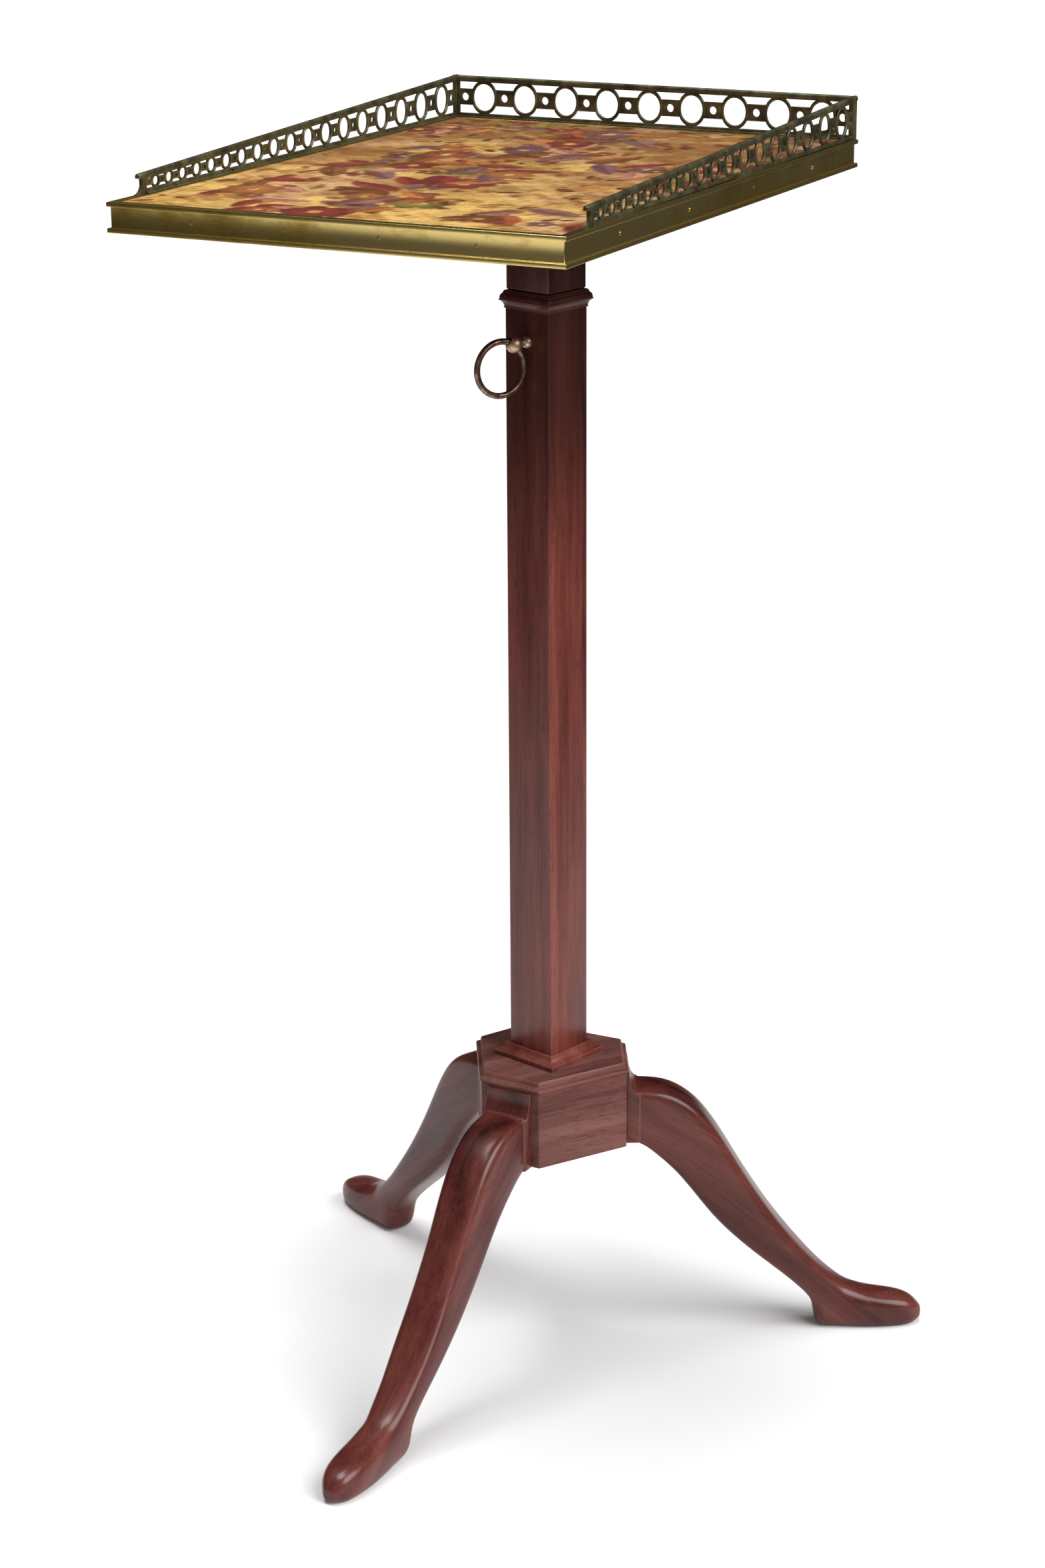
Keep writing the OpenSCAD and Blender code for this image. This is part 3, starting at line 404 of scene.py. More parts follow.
# Rows laid between the stations along a smooth curve through them
def splined(stations, steps):
    rows = []
    last = len(stations) - 1
    for i in range(last):
        a, b, c, d = (np.array(stations[min(max(k, 0), last)], float) for k in range(i - 1, i + 3))
        for j in range(steps):
            t = j / steps
            rows.append(0.5 * (2 * b + (c - a) * t + (2 * a - 5 * b + 4 * c - d) * t ** 2
                               + (3 * b - a - 3 * c + d) * t ** 3))
    rows.append(np.array(stations[last], float))
    return rows


print("legs")
legSize = {
    "around": 24,
    "root": 62,  # axis to the block's face, mm
    "drawnReach": 308,  # the reach that the stations are drawn for, mm
    "reach": {"front": 333, "right": 308, "left": 308},
    # in mm along the drawn reach, height, slope of the section, half thickness, half width, squareness
    "stations": [
        (62, 196, 0, 22, 19.0, 10), (66, 195.6, 1, 22.2, 19.1, 10), (70, 195, 2, 22.5, 19.2, 9),
        (80, 192.5, 5, 24.8, 19.6, 7.5), (94, 186.3, 10.2, 28.6, 19.8, 6.5),
        (112, 171.8, 15, 30.3, 19.6, 5.8), (129, 149.2, 19, 28.8, 19.0, 5.2),
        (147, 121.6, 24.4, 24.6, 18.3, 4.8), (171, 91, 30.1, 18.7, 18.6, 4.4),
        (195, 65.5, 34.3, 14.2, 18.4, 4), (214, 46, 41, 12.6, 16.7, 3.6),
        (227, 32.4, 43, 14.2, 16.3, 3.3), (233.5, 19.2, 37, 21.7, 16.2, 3.1),
        (245, 16.8, 28, 19, 16.4, 3.1), (257, 14.6, 20, 16.9, 16.9, 3.1),
        (273, 13, 12, 15.4, 17.0, 3.1), (288, 12, 8, 13.8, 15.6, 3),
        (300, 10, 5, 11.4, 11.8, 2.8), (308, 8.5, 3, 5, 4.9, 2.4)],
    "endInset": 0.6 * mm,
    "shoulderWide": 39.8 * mm,
    "shoulderOut": (62 * mm, 73 * mm),  # axis to its back and to its face
    "shoulderUp": (173 * mm, 236 * mm),
    "shoulderLip": 2.5 * mm,
    "shoulderEdge": 0.9 * mm,
    "scoopTall": 20 * mm,
    "scoopPoints": 9,
}


def legRing(far, reach, height, slope, thick, wide, square):
    ring = []
    root = legSize["root"]
    reach = root + (reach - root) * (far - root) / (legSize["drawnReach"] - root)
    tilt = math.radians(slope)
    for k in range(legSize["around"]):
        angle = 2 * math.pi * (k + 0.5) / legSize["around"]
        across, up = math.cos(angle), math.sin(angle)
        w = wide * math.copysign(abs(across) ** (2 / square), across)
        h = thick * math.copysign(abs(up) ** (2 / square), up)
        ring.append(Vector((w, -(reach + h * math.sin(tilt)), max(0, height + h * math.cos(tilt)))) * mm)
    return ring


for side, turn in legTurns.items():
    name = "leg" + side.capitalize()
    rows = splined(legSize["stations"], 2)
    leg = sweptSkin(name, [legRing(legSize["reach"][side], *row) for row in rows])
    makeActive(leg)
    editMesh()
    pick(leg, lambda face: len(face.verts) > 4)
    bpy.ops.mesh.inset(thickness=legSize["endInset"])
    leaveMesh()
    applyModifier(leg, "SUBSURF", levels=1, render_levels=1)
    # The square shoulder stands out of the block almost to the cap, hollowed at its top
    inner, outer = legSize["shoulderOut"]
    foot, top = legSize["shoulderUp"]
    scoopDeep = outer - inner - legSize["shoulderLip"]
    scoop = [(outer - scoopDeep * math.cos(t), top - legSize["scoopTall"] * math.sin(t))
             for t in np.linspace(math.pi / 2, 0, legSize["scoopPoints"])]
    outline = [(inner, foot), (outer, foot)] + scoop + [(inner, top)]
    halfWide = legSize["shoulderWide"] / 2
    shoulder = sweptSkin("shoulder", [[(x, -out, up) for out, up in outline] for x in (-halfWide, halfWide)])
    bevelEdges(shoulder, legSize["shoulderEdge"])
    leg = joinPieces(name, [leg, shoulder])
    placeAt(leg, turn)
    finishPiece(leg, "stand", legMahogany[side], ["leg_" + side], 50)


print("base block and its mouldings")
blockSize = {
    "bottom": 173 * mm,
    "top": 238 * mm,
    "legFace": 62 * mm,  # axis to a narrow face
    "wideFace": 54 * mm,  # axis to a wide face
    "edge": 1.1 * mm,
    # the cap's bead and chamfer: height above the block and how far it stands out, mm
    "cap": [(0, 0.2), (0.7, 1.28), (1.8, 1.6), (2.9, 1.28), (3.6, 0), (4.2, -1.6), (7.2, -2.4), (8, -3.2)],
}


def hexCorners(grow):
    near, far = blockSize["legFace"] + grow, blockSize["wideFace"] + grow
    half = (2 * far - near) / math.sqrt(3)
    corners = []
    for turn in legTurns.values():
        c, s = math.cos(math.radians(turn)), math.sin(math.radians(turn))
        corners += [(sign * half * c + near * s, sign * half * s - near * c) for sign in (-1, 1)]
    return corners


# Levels are (height, growth of the outline)
def hexStack(name, levels):
    piece = sweptSkin(name, [[Vector((x, y, height)) for x, y in hexCorners(grow)]
                             for height, grow in levels])
    placeAt(piece, 0)
    return piece


block = hexStack("baseBlock", [(blockSize["bottom"], 0), (blockSize["top"], 0)])
bevelEdges(block, blockSize["edge"])
finishPiece(block, "stand", blockMahoganyPaintedSheen, ["base_block"])

cap = hexStack("blockCap", [(blockSize["top"] + up * mm, out * mm) for up, out in blockSize["cap"]])
capTop = blockSize["top"] + blockSize["cap"][-1][0] * mm
finishPiece(cap, "stand", blockMahoganyPaintedSheen, ["block_cap"], 30)


columnSize = {
    "half": 22 * mm,
    "bore": 14 * mm,
    "bottom": 196 * mm,
    "top": 866 * mm,
    "arris": 1.3 * mm,
    "footHeight": 10 * mm,
    "footOut": 9 * mm,
    "footCove": 6 * mm,
    "footEdge": 0.5 * mm,
    "collarHeight": 13.8 * mm,
    "collarOut": 3.0 * mm,
    "collarEdge": 0.35 * mm,
    # heights above the collar's foot
    "coveUp": 1.0 * mm,
    "fillet": (7.2 * mm, 8.8 * mm),
    "beadUp": 9.1 * mm,
    "coveRadius": 5.8 * mm,
    "coveAway": 3.2 * mm,  # cove's centre beyond the collar's face
}
face = columnSize["half"]


# An arc of a moulding's outline, from one angle to another
def arc(centreOut, centreUp, radius, start, end, count=6):
    return [(centreOut + radius * math.cos(math.radians(start + (end - start) * k / count)),
             centreUp + radius * math.sin(math.radians(start + (end - start) * k / count)))
            for k in range(count + 1)]


# One square piece of the column; the bevel's values are its width, segments and angle
def columnPiece(name, outline, bevel, nodes):
    piece = turned(name, outline, 4, corner=True)
    bevelEdges(piece, *bevel)
    placeAt(piece, columnTurn)
    finishPiece(piece, "stand", columnMahogany, nodes)


footFace = face + columnSize["footOut"]
footTop, cove = capTop + columnSize["footHeight"], columnSize["footCove"]
footOutline = ([(face, capTop), (footFace, capTop), (footFace, footTop - cove)]
               + arc(footFace, footTop, cove, 270, 180)
               + [(footFace - cove, footTop), (face, footTop)])
columnPiece("columnFootMoulding", footOutline, (columnSize["footEdge"], 2, 40), ["column_foot_moulding"])

top, proud = columnSize["top"], columnSize["collarOut"]
low = top - columnSize["collarHeight"]
collarOutline = ([(face, low), (face + proud * 0.25, low)]
                 + arc(face + proud + columnSize["coveAway"], low + columnSize["coveUp"],
                       columnSize["coveRadius"], 176, 114, 7)
                 + [(face + proud, low + up) for up in columnSize["fillet"]]
                 + arc(face + proud * 0.1, low + columnSize["beadUp"], proud * 0.82, 8, 62, 5)
                 + [(face + proud * 0.3, top - proud * 0.3), (face, top)])
columnPiece("columnCollar", collarOutline, (columnSize["collarEdge"], 2, 45), ["collar"])


print("column")
bore, bottom = columnSize["bore"], columnSize["bottom"]
columnPiece("column", [(bore, bottom), (face, bottom), (face, top), (bore, top)], (columnSize["arris"],),
            ["column_board_" + side for side in ("front", "back", "left", "right")])

headSize = {"width": 43 * mm, "bottom": 866.3 * mm, "top": 919.7 * mm, "edge": 1.4 * mm}
tallHead = headSize["top"] - headSize["bottom"]
head = planedBlock("headBlock", (headSize["width"], headSize["width"], tallHead),
                   (0, 0, headSize["bottom"] + tallHead / 2), headSize["edge"])
placeAt(head, columnTurn)
finishPiece(head, "riser", columnMahogany, ["head_block"])


print("tray")
traySize = {
    "halfX": 175 * mm,
    "halfY": 254 * mm,
    "bottom": 943 * mm,
    "height": 21 * mm,
    "lip": 3.2 * mm,
    "lipOut": 2.2 * mm,
    "thick": 7 * mm,
    "edge": 0.55 * mm,
    "panelDrop": 0.6 * mm,
    "panelThick": 3 * mm,
    "panelCell": 1.9 * mm,  # spacing of the painted panel's points
}
trayFoot = traySize["bottom"]
rim = trayFoot + traySize["height"]
lip, lipOut, thick = traySize["lip"], traySize["lipOut"], traySize["thick"]
# The band is turned as a small square, and its quarters are then pulled apart
small = 60 * mm
bandOutline = [(small - thick, trayFoot), (small, trayFoot), (small, trayFoot + lip),
               (small - lipOut, trayFoot + lip), (small - lipOut, rim - lip), (small, rim - lip),
               (small, rim), (small - thick, rim)]
band = turned("brassBand", bandOutline, 4, corner=True)
pullApart(band, traySize["halfX"] - small, traySize["halfY"] - small)
bevelEdges(band, traySize["edge"], 3, 40)
finishPiece(band, "top", bandBrass, ["band_front", "band_back", "band_left", "band_right"])


print("decorated panel")
# A generic scatter of leaves and small flowers on a clouded gilt ground. Every motif is drawn
# by formula from this list of sizes and colours; the seed only sets where each one lies.
panelDesign = {
    "seed": 23,
    "gilt": "#F6C970",
    "umber": "#865A34",
    "haze": "#D3A388",
    "rust": "#9C5C2C",
    "pale": "#F0CE94",
    "heart": "#D9B062",
    "line": "#4E2C1A",
    # clouds: size in mm, stretch across the panel, strength
    "brownClouds": [(110, 2.2, 1.3), (26, 1.8, 0.9)],
    "hazeClouds": [(150, 1, 0.5)],
    "wornClouds": [(42, 1.6, 0.7), (13, 1, 0.6), (6, 1, 0.4)],
    "brownsOver": 78,  # mm towards the back
    "field": (330, 490),  # mm that the sprays are spread over
    "rows": 6,
    "columns": 4,
    "leaf": (17, 30),  # half lengths, mm
    "flower": (15, 25),  # radii, mm
    "stemStep": 11,  # mm
    "colours": ["#8E3E30", "#8E6258", "#84502E", "#C98A70", "#94803E",
                "#A65638", "#845A5C", "#B4703E", "#8C3A30"],
    "looseLeaves": 300,
    "looseLeaf": (3.5, 10),  # half lengths, mm
    "looseColours": ["#94502C", "#7C4426", "#A4643A", "#B07A3C", "#8A4A34", "#6E4430"],
    "border": 9,  # mm from the band to a thin line
}


# The colour of each point of the panel, from its place in mm, x to the right and y to the back
def paintDesign(x, y):
    draw = random.Random(panelDesign["seed"])
    waves = np.random.RandomState(panelDesign["seed"])
    gilt, umber, haze, rust, pale, heart, line = (
        srgbTriple(panelDesign[k]) for k in ("gilt", "umber", "haze", "rust", "pale", "heart", "line"))

    # Soft clouds, each size a sum of waves that run in many directions
    def clouds(layers, count=14):
        total = np.zeros_like(x)
        for size, stretch, strength in layers:
            layer = np.zeros_like(x)
            for _ in range(count):
                heading, phase = waves.uniform(0, math.pi), waves.uniform(0, 2 * math.pi)
                length = size * waves.uniform(0.6, 1.8)
                far = x * math.cos(heading) / stretch + y * math.sin(heading)
                layer += np.cos(far * 2 * math.pi / length + phase)
            total += layer / math.sqrt(count) * strength
        return total

    # The ground browns towards the back
    shade = 1 / (1 + np.exp(-(clouds(panelDesign["brownClouds"]) + y / panelDesign["brownsOver"])))
    colour = gilt + (umber - gilt) * shade[:, None] * 0.85
    mist = np.clip(clouds(panelDesign["hazeClouds"]) + 0.1, 0, 1)[:, None]
    colour = colour + (haze - colour) * mist * 0.6
    # Worn patches: the gilding rubbed down to a rusty ground, or thick and pale
    worn = clouds(panelDesign["wornClouds"])
    colour = colour + (rust - colour) * np.clip(worn + 0.1, 0, 1)[:, None] * 0.6
    colour = colour + (pale - colour) * np.clip(-0.5 - worn, 0, 1)[:, None] * 0.5

    # Each tone is laid over what is there, as far as its mask; masks fade over about 0.9 mm
    def lay(mask, tone):
        colour[:] = colour + (tone - colour) * np.clip(mask, 0, 1)[:, None]

    def leaf(cx, cy, heading, length, width, tone):
        dx, dy = x - cx, y - cy
        along = (dx * math.cos(heading) + dy * math.sin(heading)) / length
        across = (-dx * math.sin(heading) + dy * math.cos(heading)) / width
        edge = np.sqrt(np.clip(1 - along ** 2, 0, 1)) * (1 - 0.35 * along)  # blunt stem end, pointed tip
        inside, onLeaf = (edge - np.abs(across)) * width, np.abs(along) < 1
        lay(inside / 0.9 * onLeaf, tone * (0.9 + 0.2 * (across > 0)[:, None]))
        lay((0.7 - np.abs(inside) / 0.8) * onLeaf, line)
        lay(0.55 * ((np.abs(across * width) < 0.55) & (np.abs(along) < 0.85)), line)

    def flower(cx, cy, heading, size, tone, petals=5):
        dx, dy = x - cx, y - cy
        radius, angle = np.hypot(dx, dy), np.arctan2(dy, dx) - heading
        rimHere = size * (0.72 + 0.28 * np.abs(np.cos(angle * petals / 2)))
        lay((rimHere - radius) / 0.9, tone * (1.15 - 0.35 * np.clip(radius / size, 0, 1))[:, None])
        lay(0.6 - np.abs(rimHere - radius) / 0.8, line)
        lay((size * 0.24 - radius) / 0.8, heart)
        lay(0.6 - np.abs(size * 0.24 - radius) / 0.7, line)

    def stem(points):
        for (ax, ay), (bx, by) in zip(points, points[1:]):
            length = math.hypot(bx - ax, by - ay)
            t = np.clip(((x - ax) * (bx - ax) + (y - ay) * (by - ay)) / length ** 2, 0, 1)
            gap = np.hypot(x - ax - t * (bx - ax), y - ay - t * (by - ay))
            lay((1 - gap) / 0.8, line)

    # Sprays: a bent stem with four leaves, a flower at its tip and, on some, one at its foot
    tones = [srgbTriple(c) for c in panelDesign["colours"]]
    rusts = [srgbTriple(c) for c in panelDesign["looseColours"]]
    rows, columns, pace = panelDesign["rows"], panelDesign["columns"], panelDesign["stemStep"]
    wide, deep = panelDesign["field"]
    for k in range(rows * columns):
        cx = (k % columns + 0.5 + draw.uniform(-0.3, 0.3)) * wide / columns - wide / 2
        cy = (k // columns + 0.5 + draw.uniform(-0.3, 0.3)) * deep / rows - deep / 2
        heading = draw.uniform(0, 2 * math.pi)
        bend = draw.choice((-1, 1)) * draw.uniform(0.2, 0.45)
        points = [(cx, cy)]
        for step in range(1, 7):
            turn = heading + bend * step * 0.4
            points.append((points[-1][0] + pace * math.cos(turn), points[-1][1] + pace * math.sin(turn)))
        stem(points)
        for step, sideOf in ((1, 1), (2, -1), (4, 1), (5, -1)):
            turn = heading + bend * step * 0.4 + sideOf * draw.uniform(0.6, 1.1)
            size = draw.uniform(*panelDesign["leaf"])
            leaf(points[step][0] + size * math.cos(turn), points[step][1] + size * math.sin(turn), turn,
                 size, size * draw.uniform(0.34, 0.52), draw.choice(tones))
        flower(points[-1][0], points[-1][1], draw.uniform(0, 6), draw.uniform(*panelDesign["flower"]),
               draw.choice(tones), draw.choice((5, 6)))
        if k % 3 == 0:
            flower(cx, cy, draw.uniform(0, 6), panelDesign["flower"][0] * 0.7, draw.choice(tones))
    # Small loose leaves over the rest, closer together towards the back
    for _ in range(panelDesign["looseLeaves"]):
        cy = deep / 2 * (1 - 2 * draw.random() ** 1.5)
        size = draw.uniform(*panelDesign["looseLeaf"])
        leaf(draw.uniform(-160, 160), cy, draw.uniform(0, 6.3), size, size * draw.uniform(0.35, 0.6),
             draw.choice(rusts))
    fromBand = np.minimum(innerX / mm - np.abs(x), innerY / mm - np.abs(y))
    lay(0.75 - np.abs(fromBand - panelDesign["border"]), line)
    return np.clip(colour, 0, 1)


innerX, innerY = traySize["halfX"] - thick, traySize["halfY"] - thick
cell = traySize["panelCell"]
deselectAll()
bpy.ops.mesh.primitive_grid_add(
    x_subdivisions=round(2 * innerX / cell), y_subdivisions=round(2 * innerY / cell),
    size=2, location=(0, 0, rim - traySize["panelDrop"]))
panel = named("decoratedPanel")
panel.scale = (innerX, innerY, 1)
applyPlace()
editMesh()
pick(panel, lambda edge: edge.is_boundary, "EDGE")
bpy.ops.mesh.extrude_region_move(TRANSFORM_OT_translate={"value": (0, 0, -traySize["panelThick"])})
bpy.ops.mesh.edge_face_add()
leaveMesh()
spots = np.empty(len(panel.data.vertices) * 3)
panel.data.vertices.foreach_get("co", spots)
spots = spots.reshape(-1, 3) / mm
painted = toLinear(paintDesign(spots[:, 0], spots[:, 1]))
layer = panel.data.color_attributes.new("design", "FLOAT_COLOR", "POINT")
layer.data.foreach_set("color", np.column_stack([painted, np.ones(len(painted))]).ravel())


# Painted and gilt wood under old varnish: the colours come from the painted design, the
# varnish is warm, glossy, slightly uneven and finely crackled.
def varnishedPaint():
    material, tree, place = newMaterial("varnishedPaint")
    paint = addNode(tree, "VertexColor", {"layer_name": "design"}).outputs["Color"]
    grime = addNode(tree, "TexNoise", inputs={
        "Vector": place, "Scale": 45.0, "Detail": 6.0, "Roughness": 0.65}).outputs["Fac"]
    speck = addNode(tree, "TexNoise", inputs={"Vector": place, "Scale": 420.0, "Detail": 2.0}).outputs["Fac"]
    both = addNode(tree, "Math", {"operation": "MULTIPLY_ADD"}, {0: speck, 1: 0.5, 2: grime}).outputs[0]
    wear = addNode(tree, "MapRange", inputs={
        "Value": both, "From Min": 0.5, "From Max": 1.0, "To Min": 0.78, "To Max": 1.15}).outputs[0]
    worn = addNode(tree, "VectorMath", {"operation": "SCALE"}, {0: paint, "Scale": wear}).outputs[0]
    # Crackle near 6 mm across
    crackle = addNode(tree, "TexVoronoi", {"feature": "DISTANCE_TO_EDGE"}, {
        "Vector": place, "Scale": 170.0}).outputs["Distance"]
    crack = addNode(tree, "ValToRGB", inputs={"Fac": crackle},
                    stops=[(0.0, 0.22), (0.06, 0.0)]).outputs["Color"]
    crackled = addNode(tree, "Mix", {"data_type": "RGBA"}, {
        0: crack, 6: worn, 7: linearColour("#4A2E1C")}).outputs[2]
    gloss = addNode(tree, "MapRange", inputs={
        "Value": grime, "From Min": 0.35, "From Max": 0.65, "To Min": 0.30, "To Max": 0.46}).outputs[0]
    bump = addNode(tree, "Bump", inputs={"Strength": 0.2, "Distance": 0.0002, "Height": both}).outputs[0]
    finishMaterial(tree, addNode(tree, "BsdfPrincipled", inputs={
        "Base Color": crackled, "Roughness": gloss, "Normal": bump,
        "Coat Weight": 0.3, "Coat Roughness": 0.2}))
    return material


finishPiece(panel, "top", varnishedPaint(), ["tray_panel"], 30)


print("gallery")
gallerySize = {
    "backLine": 250.8 * mm,  # middle of the back strip from the tray's middle
    "backLength": 339.6 * mm,
    "sideLength": 458.8 * mm,
    "sideStart": 248.8 * mm,
    "highTop": 29.4 * mm,
    "lowTop": 11.4 * mm,
    "clear": 2.8 * mm,
    "flange": (4.8 * mm, 1.2 * mm),
    "strip": 2.4 * mm,
    "ovalWall": 2.3 * mm,
    "ovalShare": 0.64,
    "ovalAround": 28,
    "ovalSection": 8,
    "link": 12.8 * mm,
    "linkHole": 6.2 * mm,
    "linkAround": 24,
    # share of the way from the eye to the outside, and depth over half the strip
    "linkSection": [(0, -0.8), (0, 0.8), (0.35, 1.1), (0.7, 0.75),
                    (1, 0.8), (1, -0.8), (0.7, -0.75), (0.35, -1.1)],
    "backCells": 9,
    "sideCells": 18,
    "sideRatio": 0.9575,  # width of a cell over the one behind it
    "endShare": 0.15,  # of a full cell, left at each end
    "webUnder": 1.3 * mm,
    "webInRail": 0.3 * mm,
    "rail": (4.6 * mm, 3.6 * mm),
    "railOver": 5 * mm,
    "railNose": 1.0 * mm,
    "post": 4.0 * mm,
    "postBack": 1.2 * mm,  # behind the band's face
    "endBar": 1.6 * mm,
    "footLong": 8 * mm,
    "footTall": 6.4 * mm,
    "footToe": 0.8 * mm,
    # how far the parts of one casting run into each other
    "baseLap": 0.5 * mm,
    "barLap": 0.4 * mm,
    "backLap": 0.5 * mm,
    "frontLap": 0.3 * mm,
    "edge": 0.3 * mm,
    "postEdge": 0.45 * mm,
}
sideLine = traySize["halfX"] - gallerySize["postBack"] - gallerySize["post"] / 2
endShare = gallerySize["endShare"]
fullCell = gallerySize["backLength"] / (gallerySize["backCells"] + 2 * endShare)
fullTall = gallerySize["highTop"] - gallerySize["clear"]
thin = gallerySize["strip"] / 2


# The ovals of one length: middle, half width and half height of each, and its scale. Each
# cell is narrower than the last by the ratio.
def galleryCells(count, length, ratio, topAt):
    plain = length - 2 * endShare * fullCell
    shares = np.cumsum([0] + [ratio ** k for k in range(count)])
    edges = endShare * fullCell + plain * shares / shares[-1]
    cells = []
    for start, end in zip(edges, edges[1:]):
        middle = (start + end) / 2
        tall = topAt(middle) - gallerySize["clear"]
        cells.append({"x": middle, "z": (topAt(middle) + gallerySize["clear"]) / 2, "scale": tall / fullTall,
                      "halfWide": (end - start) * gallerySize["ovalShare"] / 2, "halfTall": tall / 2})
    return cells


def closedLoop(name, rings):
    return sweptSkin(name, rings + [rings[0]])


# One cast oval: a rounded bar run round an ellipse, thicker at its top and foot, and
# thinner in the small ovals
def makeOval(cell):
    bar = gallerySize["ovalWall"] * (0.45 + 0.55 * cell["scale"]) / 2
    around, section = gallerySize["ovalAround"], gallerySize["ovalSection"]
    fullOut = 1.08  # keeps the thickness that a round bar loses to its flat sides
    rings = []
    for k in range(around):
        angle = 2 * math.pi * k / around
        outwards = Vector((math.cos(angle), 0, math.sin(angle)))
        wall = bar * (1 + 0.3 * outwards.z ** 2)
        middle = Vector((cell["x"] + (cell["halfWide"] - bar) * outwards.x, 0,
                         cell["z"] + (cell["halfTall"] - wall * 0.8) * outwards.z))
        turns = [2 * math.pi * (j + 0.5) / section for j in range(section)]
        rings.append([middle + outwards * wall * math.cos(turn) * fullOut
                      + Vector((0, thin * math.sin(turn) * fullOut, 0)) for turn in turns])
    return rings


# The square link between two ovals, with a round eye and a raised rim
def makeLink(first, second):
    scale = (first["scale"] + second["scale"]) / 2
    start, end = first["x"] + first["halfWide"], second["x"] - second["halfWide"]
    middle, height = (start + end) / 2, (first["z"] + second["z"]) / 2
    halfX = max((end - start) / 2 + 0.8 * mm, 1.5 * mm)
    halfZ = gallerySize["link"] * scale / 2
    hole = min(gallerySize["linkHole"] * scale / 2, halfX - 0.9 * mm)
    rings = []
    for k in range(gallerySize["linkAround"]):
        angle = 2 * math.pi * k / gallerySize["linkAround"]
        c, s = math.cos(angle), math.sin(angle)
        square = 1 / max(abs(c), abs(s))
        ring = []
        for share, out in gallerySize["linkSection"]:
            x = (1 - share) * hole * c + share * halfX * square * c
            z = (1 - share) * hole * s + share * halfZ * square * s
            ring.append(Vector((middle + x, out * thin, height + z)))
        rings.append(ring)
    return rings


def boxSection(x, low, high, half, middle=0):
    return [Vector((x, middle + y, z)) for y, z in ((-half, low), (half, low), (half, high), (-half, high))]


def boxSkin(name, start, end, low, high, half, middle=0):
    return sweptSkin(name, [boxSection(x, low, high, half, middle) for x in (start, end)])


# A rail is flat below and rounded above
def railRings(points, wide, tall):
    section = [(-1, 0), (1, 0), (1, 0.55), (0.72, 0.9), (0.25, 1), (-0.25, 1), (-0.72, 0.9), (-1, 0.55)]
    return [[Vector((x, y * wide / 2, z + up * tall)) for y, up in section] for x, z in points]


# The rail follows the strip's top and ends in a small rounded nose
def galleryRail(length, topAt, endPost):
    wide, tall = gallerySize["rail"]
    post, nose = gallerySize["post"], gallerySize["railNose"]
    last = length + (post + gallerySize["railOver"] if endPost else (post + wide) / 2)
    slope = (topAt(length) - topAt(0)) / length
    rings = railRings([(x, topAt(0) + slope * x) for x in (-(post + wide) / 2, 0, length, last - nose)],
                      wide, tall)
    rings += railRings([(last, topAt(0) + slope * (last - nose) + nose * 0.7)], wide * 0.55, tall * 0.6)
    return sweptSkin("rail", rings)


# The small curved foot in front of each end post
def sweptFoot(start):
    rings = []
    for share in np.linspace(0, 1, 9):
        x = start - gallerySize["barLap"] + gallerySize["footLong"] * share
        up = gallerySize["footToe"] + gallerySize["footTall"] * (1 - math.sin(share * math.pi / 2)) ** 1.2
        rings.append(boxSection(x, 0, up, thin))
    return sweptSkin("foot", rings)


# A length of gallery drawn along x from its back or left end, then set in place
def galleryLength(name, cells, length, topAt, endPost):
    parts = [closedLoop("oval", makeOval(cell)) for cell in cells]
    bar, clear, lap = gallerySize["endBar"], gallerySize["clear"], gallerySize["barLap"]
    # A half link at each end, as if one more oval stood beyond it
    before = {**cells[0], "x": bar - cells[0]["halfWide"]}
    after = {**cells[-1], "x": length - bar + cells[-1]["halfWide"]}
    row = [before] + cells + [after]
    parts += [closedLoop("link", makeLink(first, second)) for first, second in zip(row, row[1:])]
    parts += [boxSkin("endBar", x, x + bar, clear, topAt(x + bar) - lap, thin * 0.9)
              for x in (0, length - bar)]
    base = boxSkin("base", 0, length, 0, clear + gallerySize["baseLap"], thin)
    flangeWide, flangeTall = gallerySize["flange"]
    flange = boxSkin("flange", 0, length, 0, flangeTall, flangeWide / 2, thin - flangeWide / 2)
    for part in (base, flange):
        bevelEdges(part, gallerySize["edge"], 2)
    under, over = gallerySize["webUnder"], gallerySize["webInRail"]
    web = sweptSkin("web", [boxSection(x, topAt(x) - under, topAt(x) + over, thin) for x in (0, length)])
    parts += [base, flange, web]
    wide = gallerySize["post"]
    posts = [(-wide, topAt(0) + gallerySize["backLap"])]
    if endPost:
        posts.append((length, topAt(length) + gallerySize["frontLap"]))
    for x, tall in posts:
        post = boxSkin("post", x, x + wide, 0, tall, wide / 2)
        bevelEdges(post, gallerySize["postEdge"], 2)
        parts.append(post)
    if endPost:
        parts.append(sweptFoot(length + wide))
    parts.append(galleryRail(length, topAt, endPost))
    return joinPieces(name, parts)


highTop, lowTop = gallerySize["highTop"], gallerySize["lowTop"]
sideLength, backLength = gallerySize["sideLength"], gallerySize["backLength"]


def sideTop(x):
    return highTop + (lowTop - highTop) * x / sideLength


def backTop(x):
    return highTop


backCells = galleryCells(gallerySize["backCells"], backLength, 1, backTop)
sideCells = galleryCells(gallerySize["sideCells"], sideLength, gallerySize["sideRatio"], sideTop)

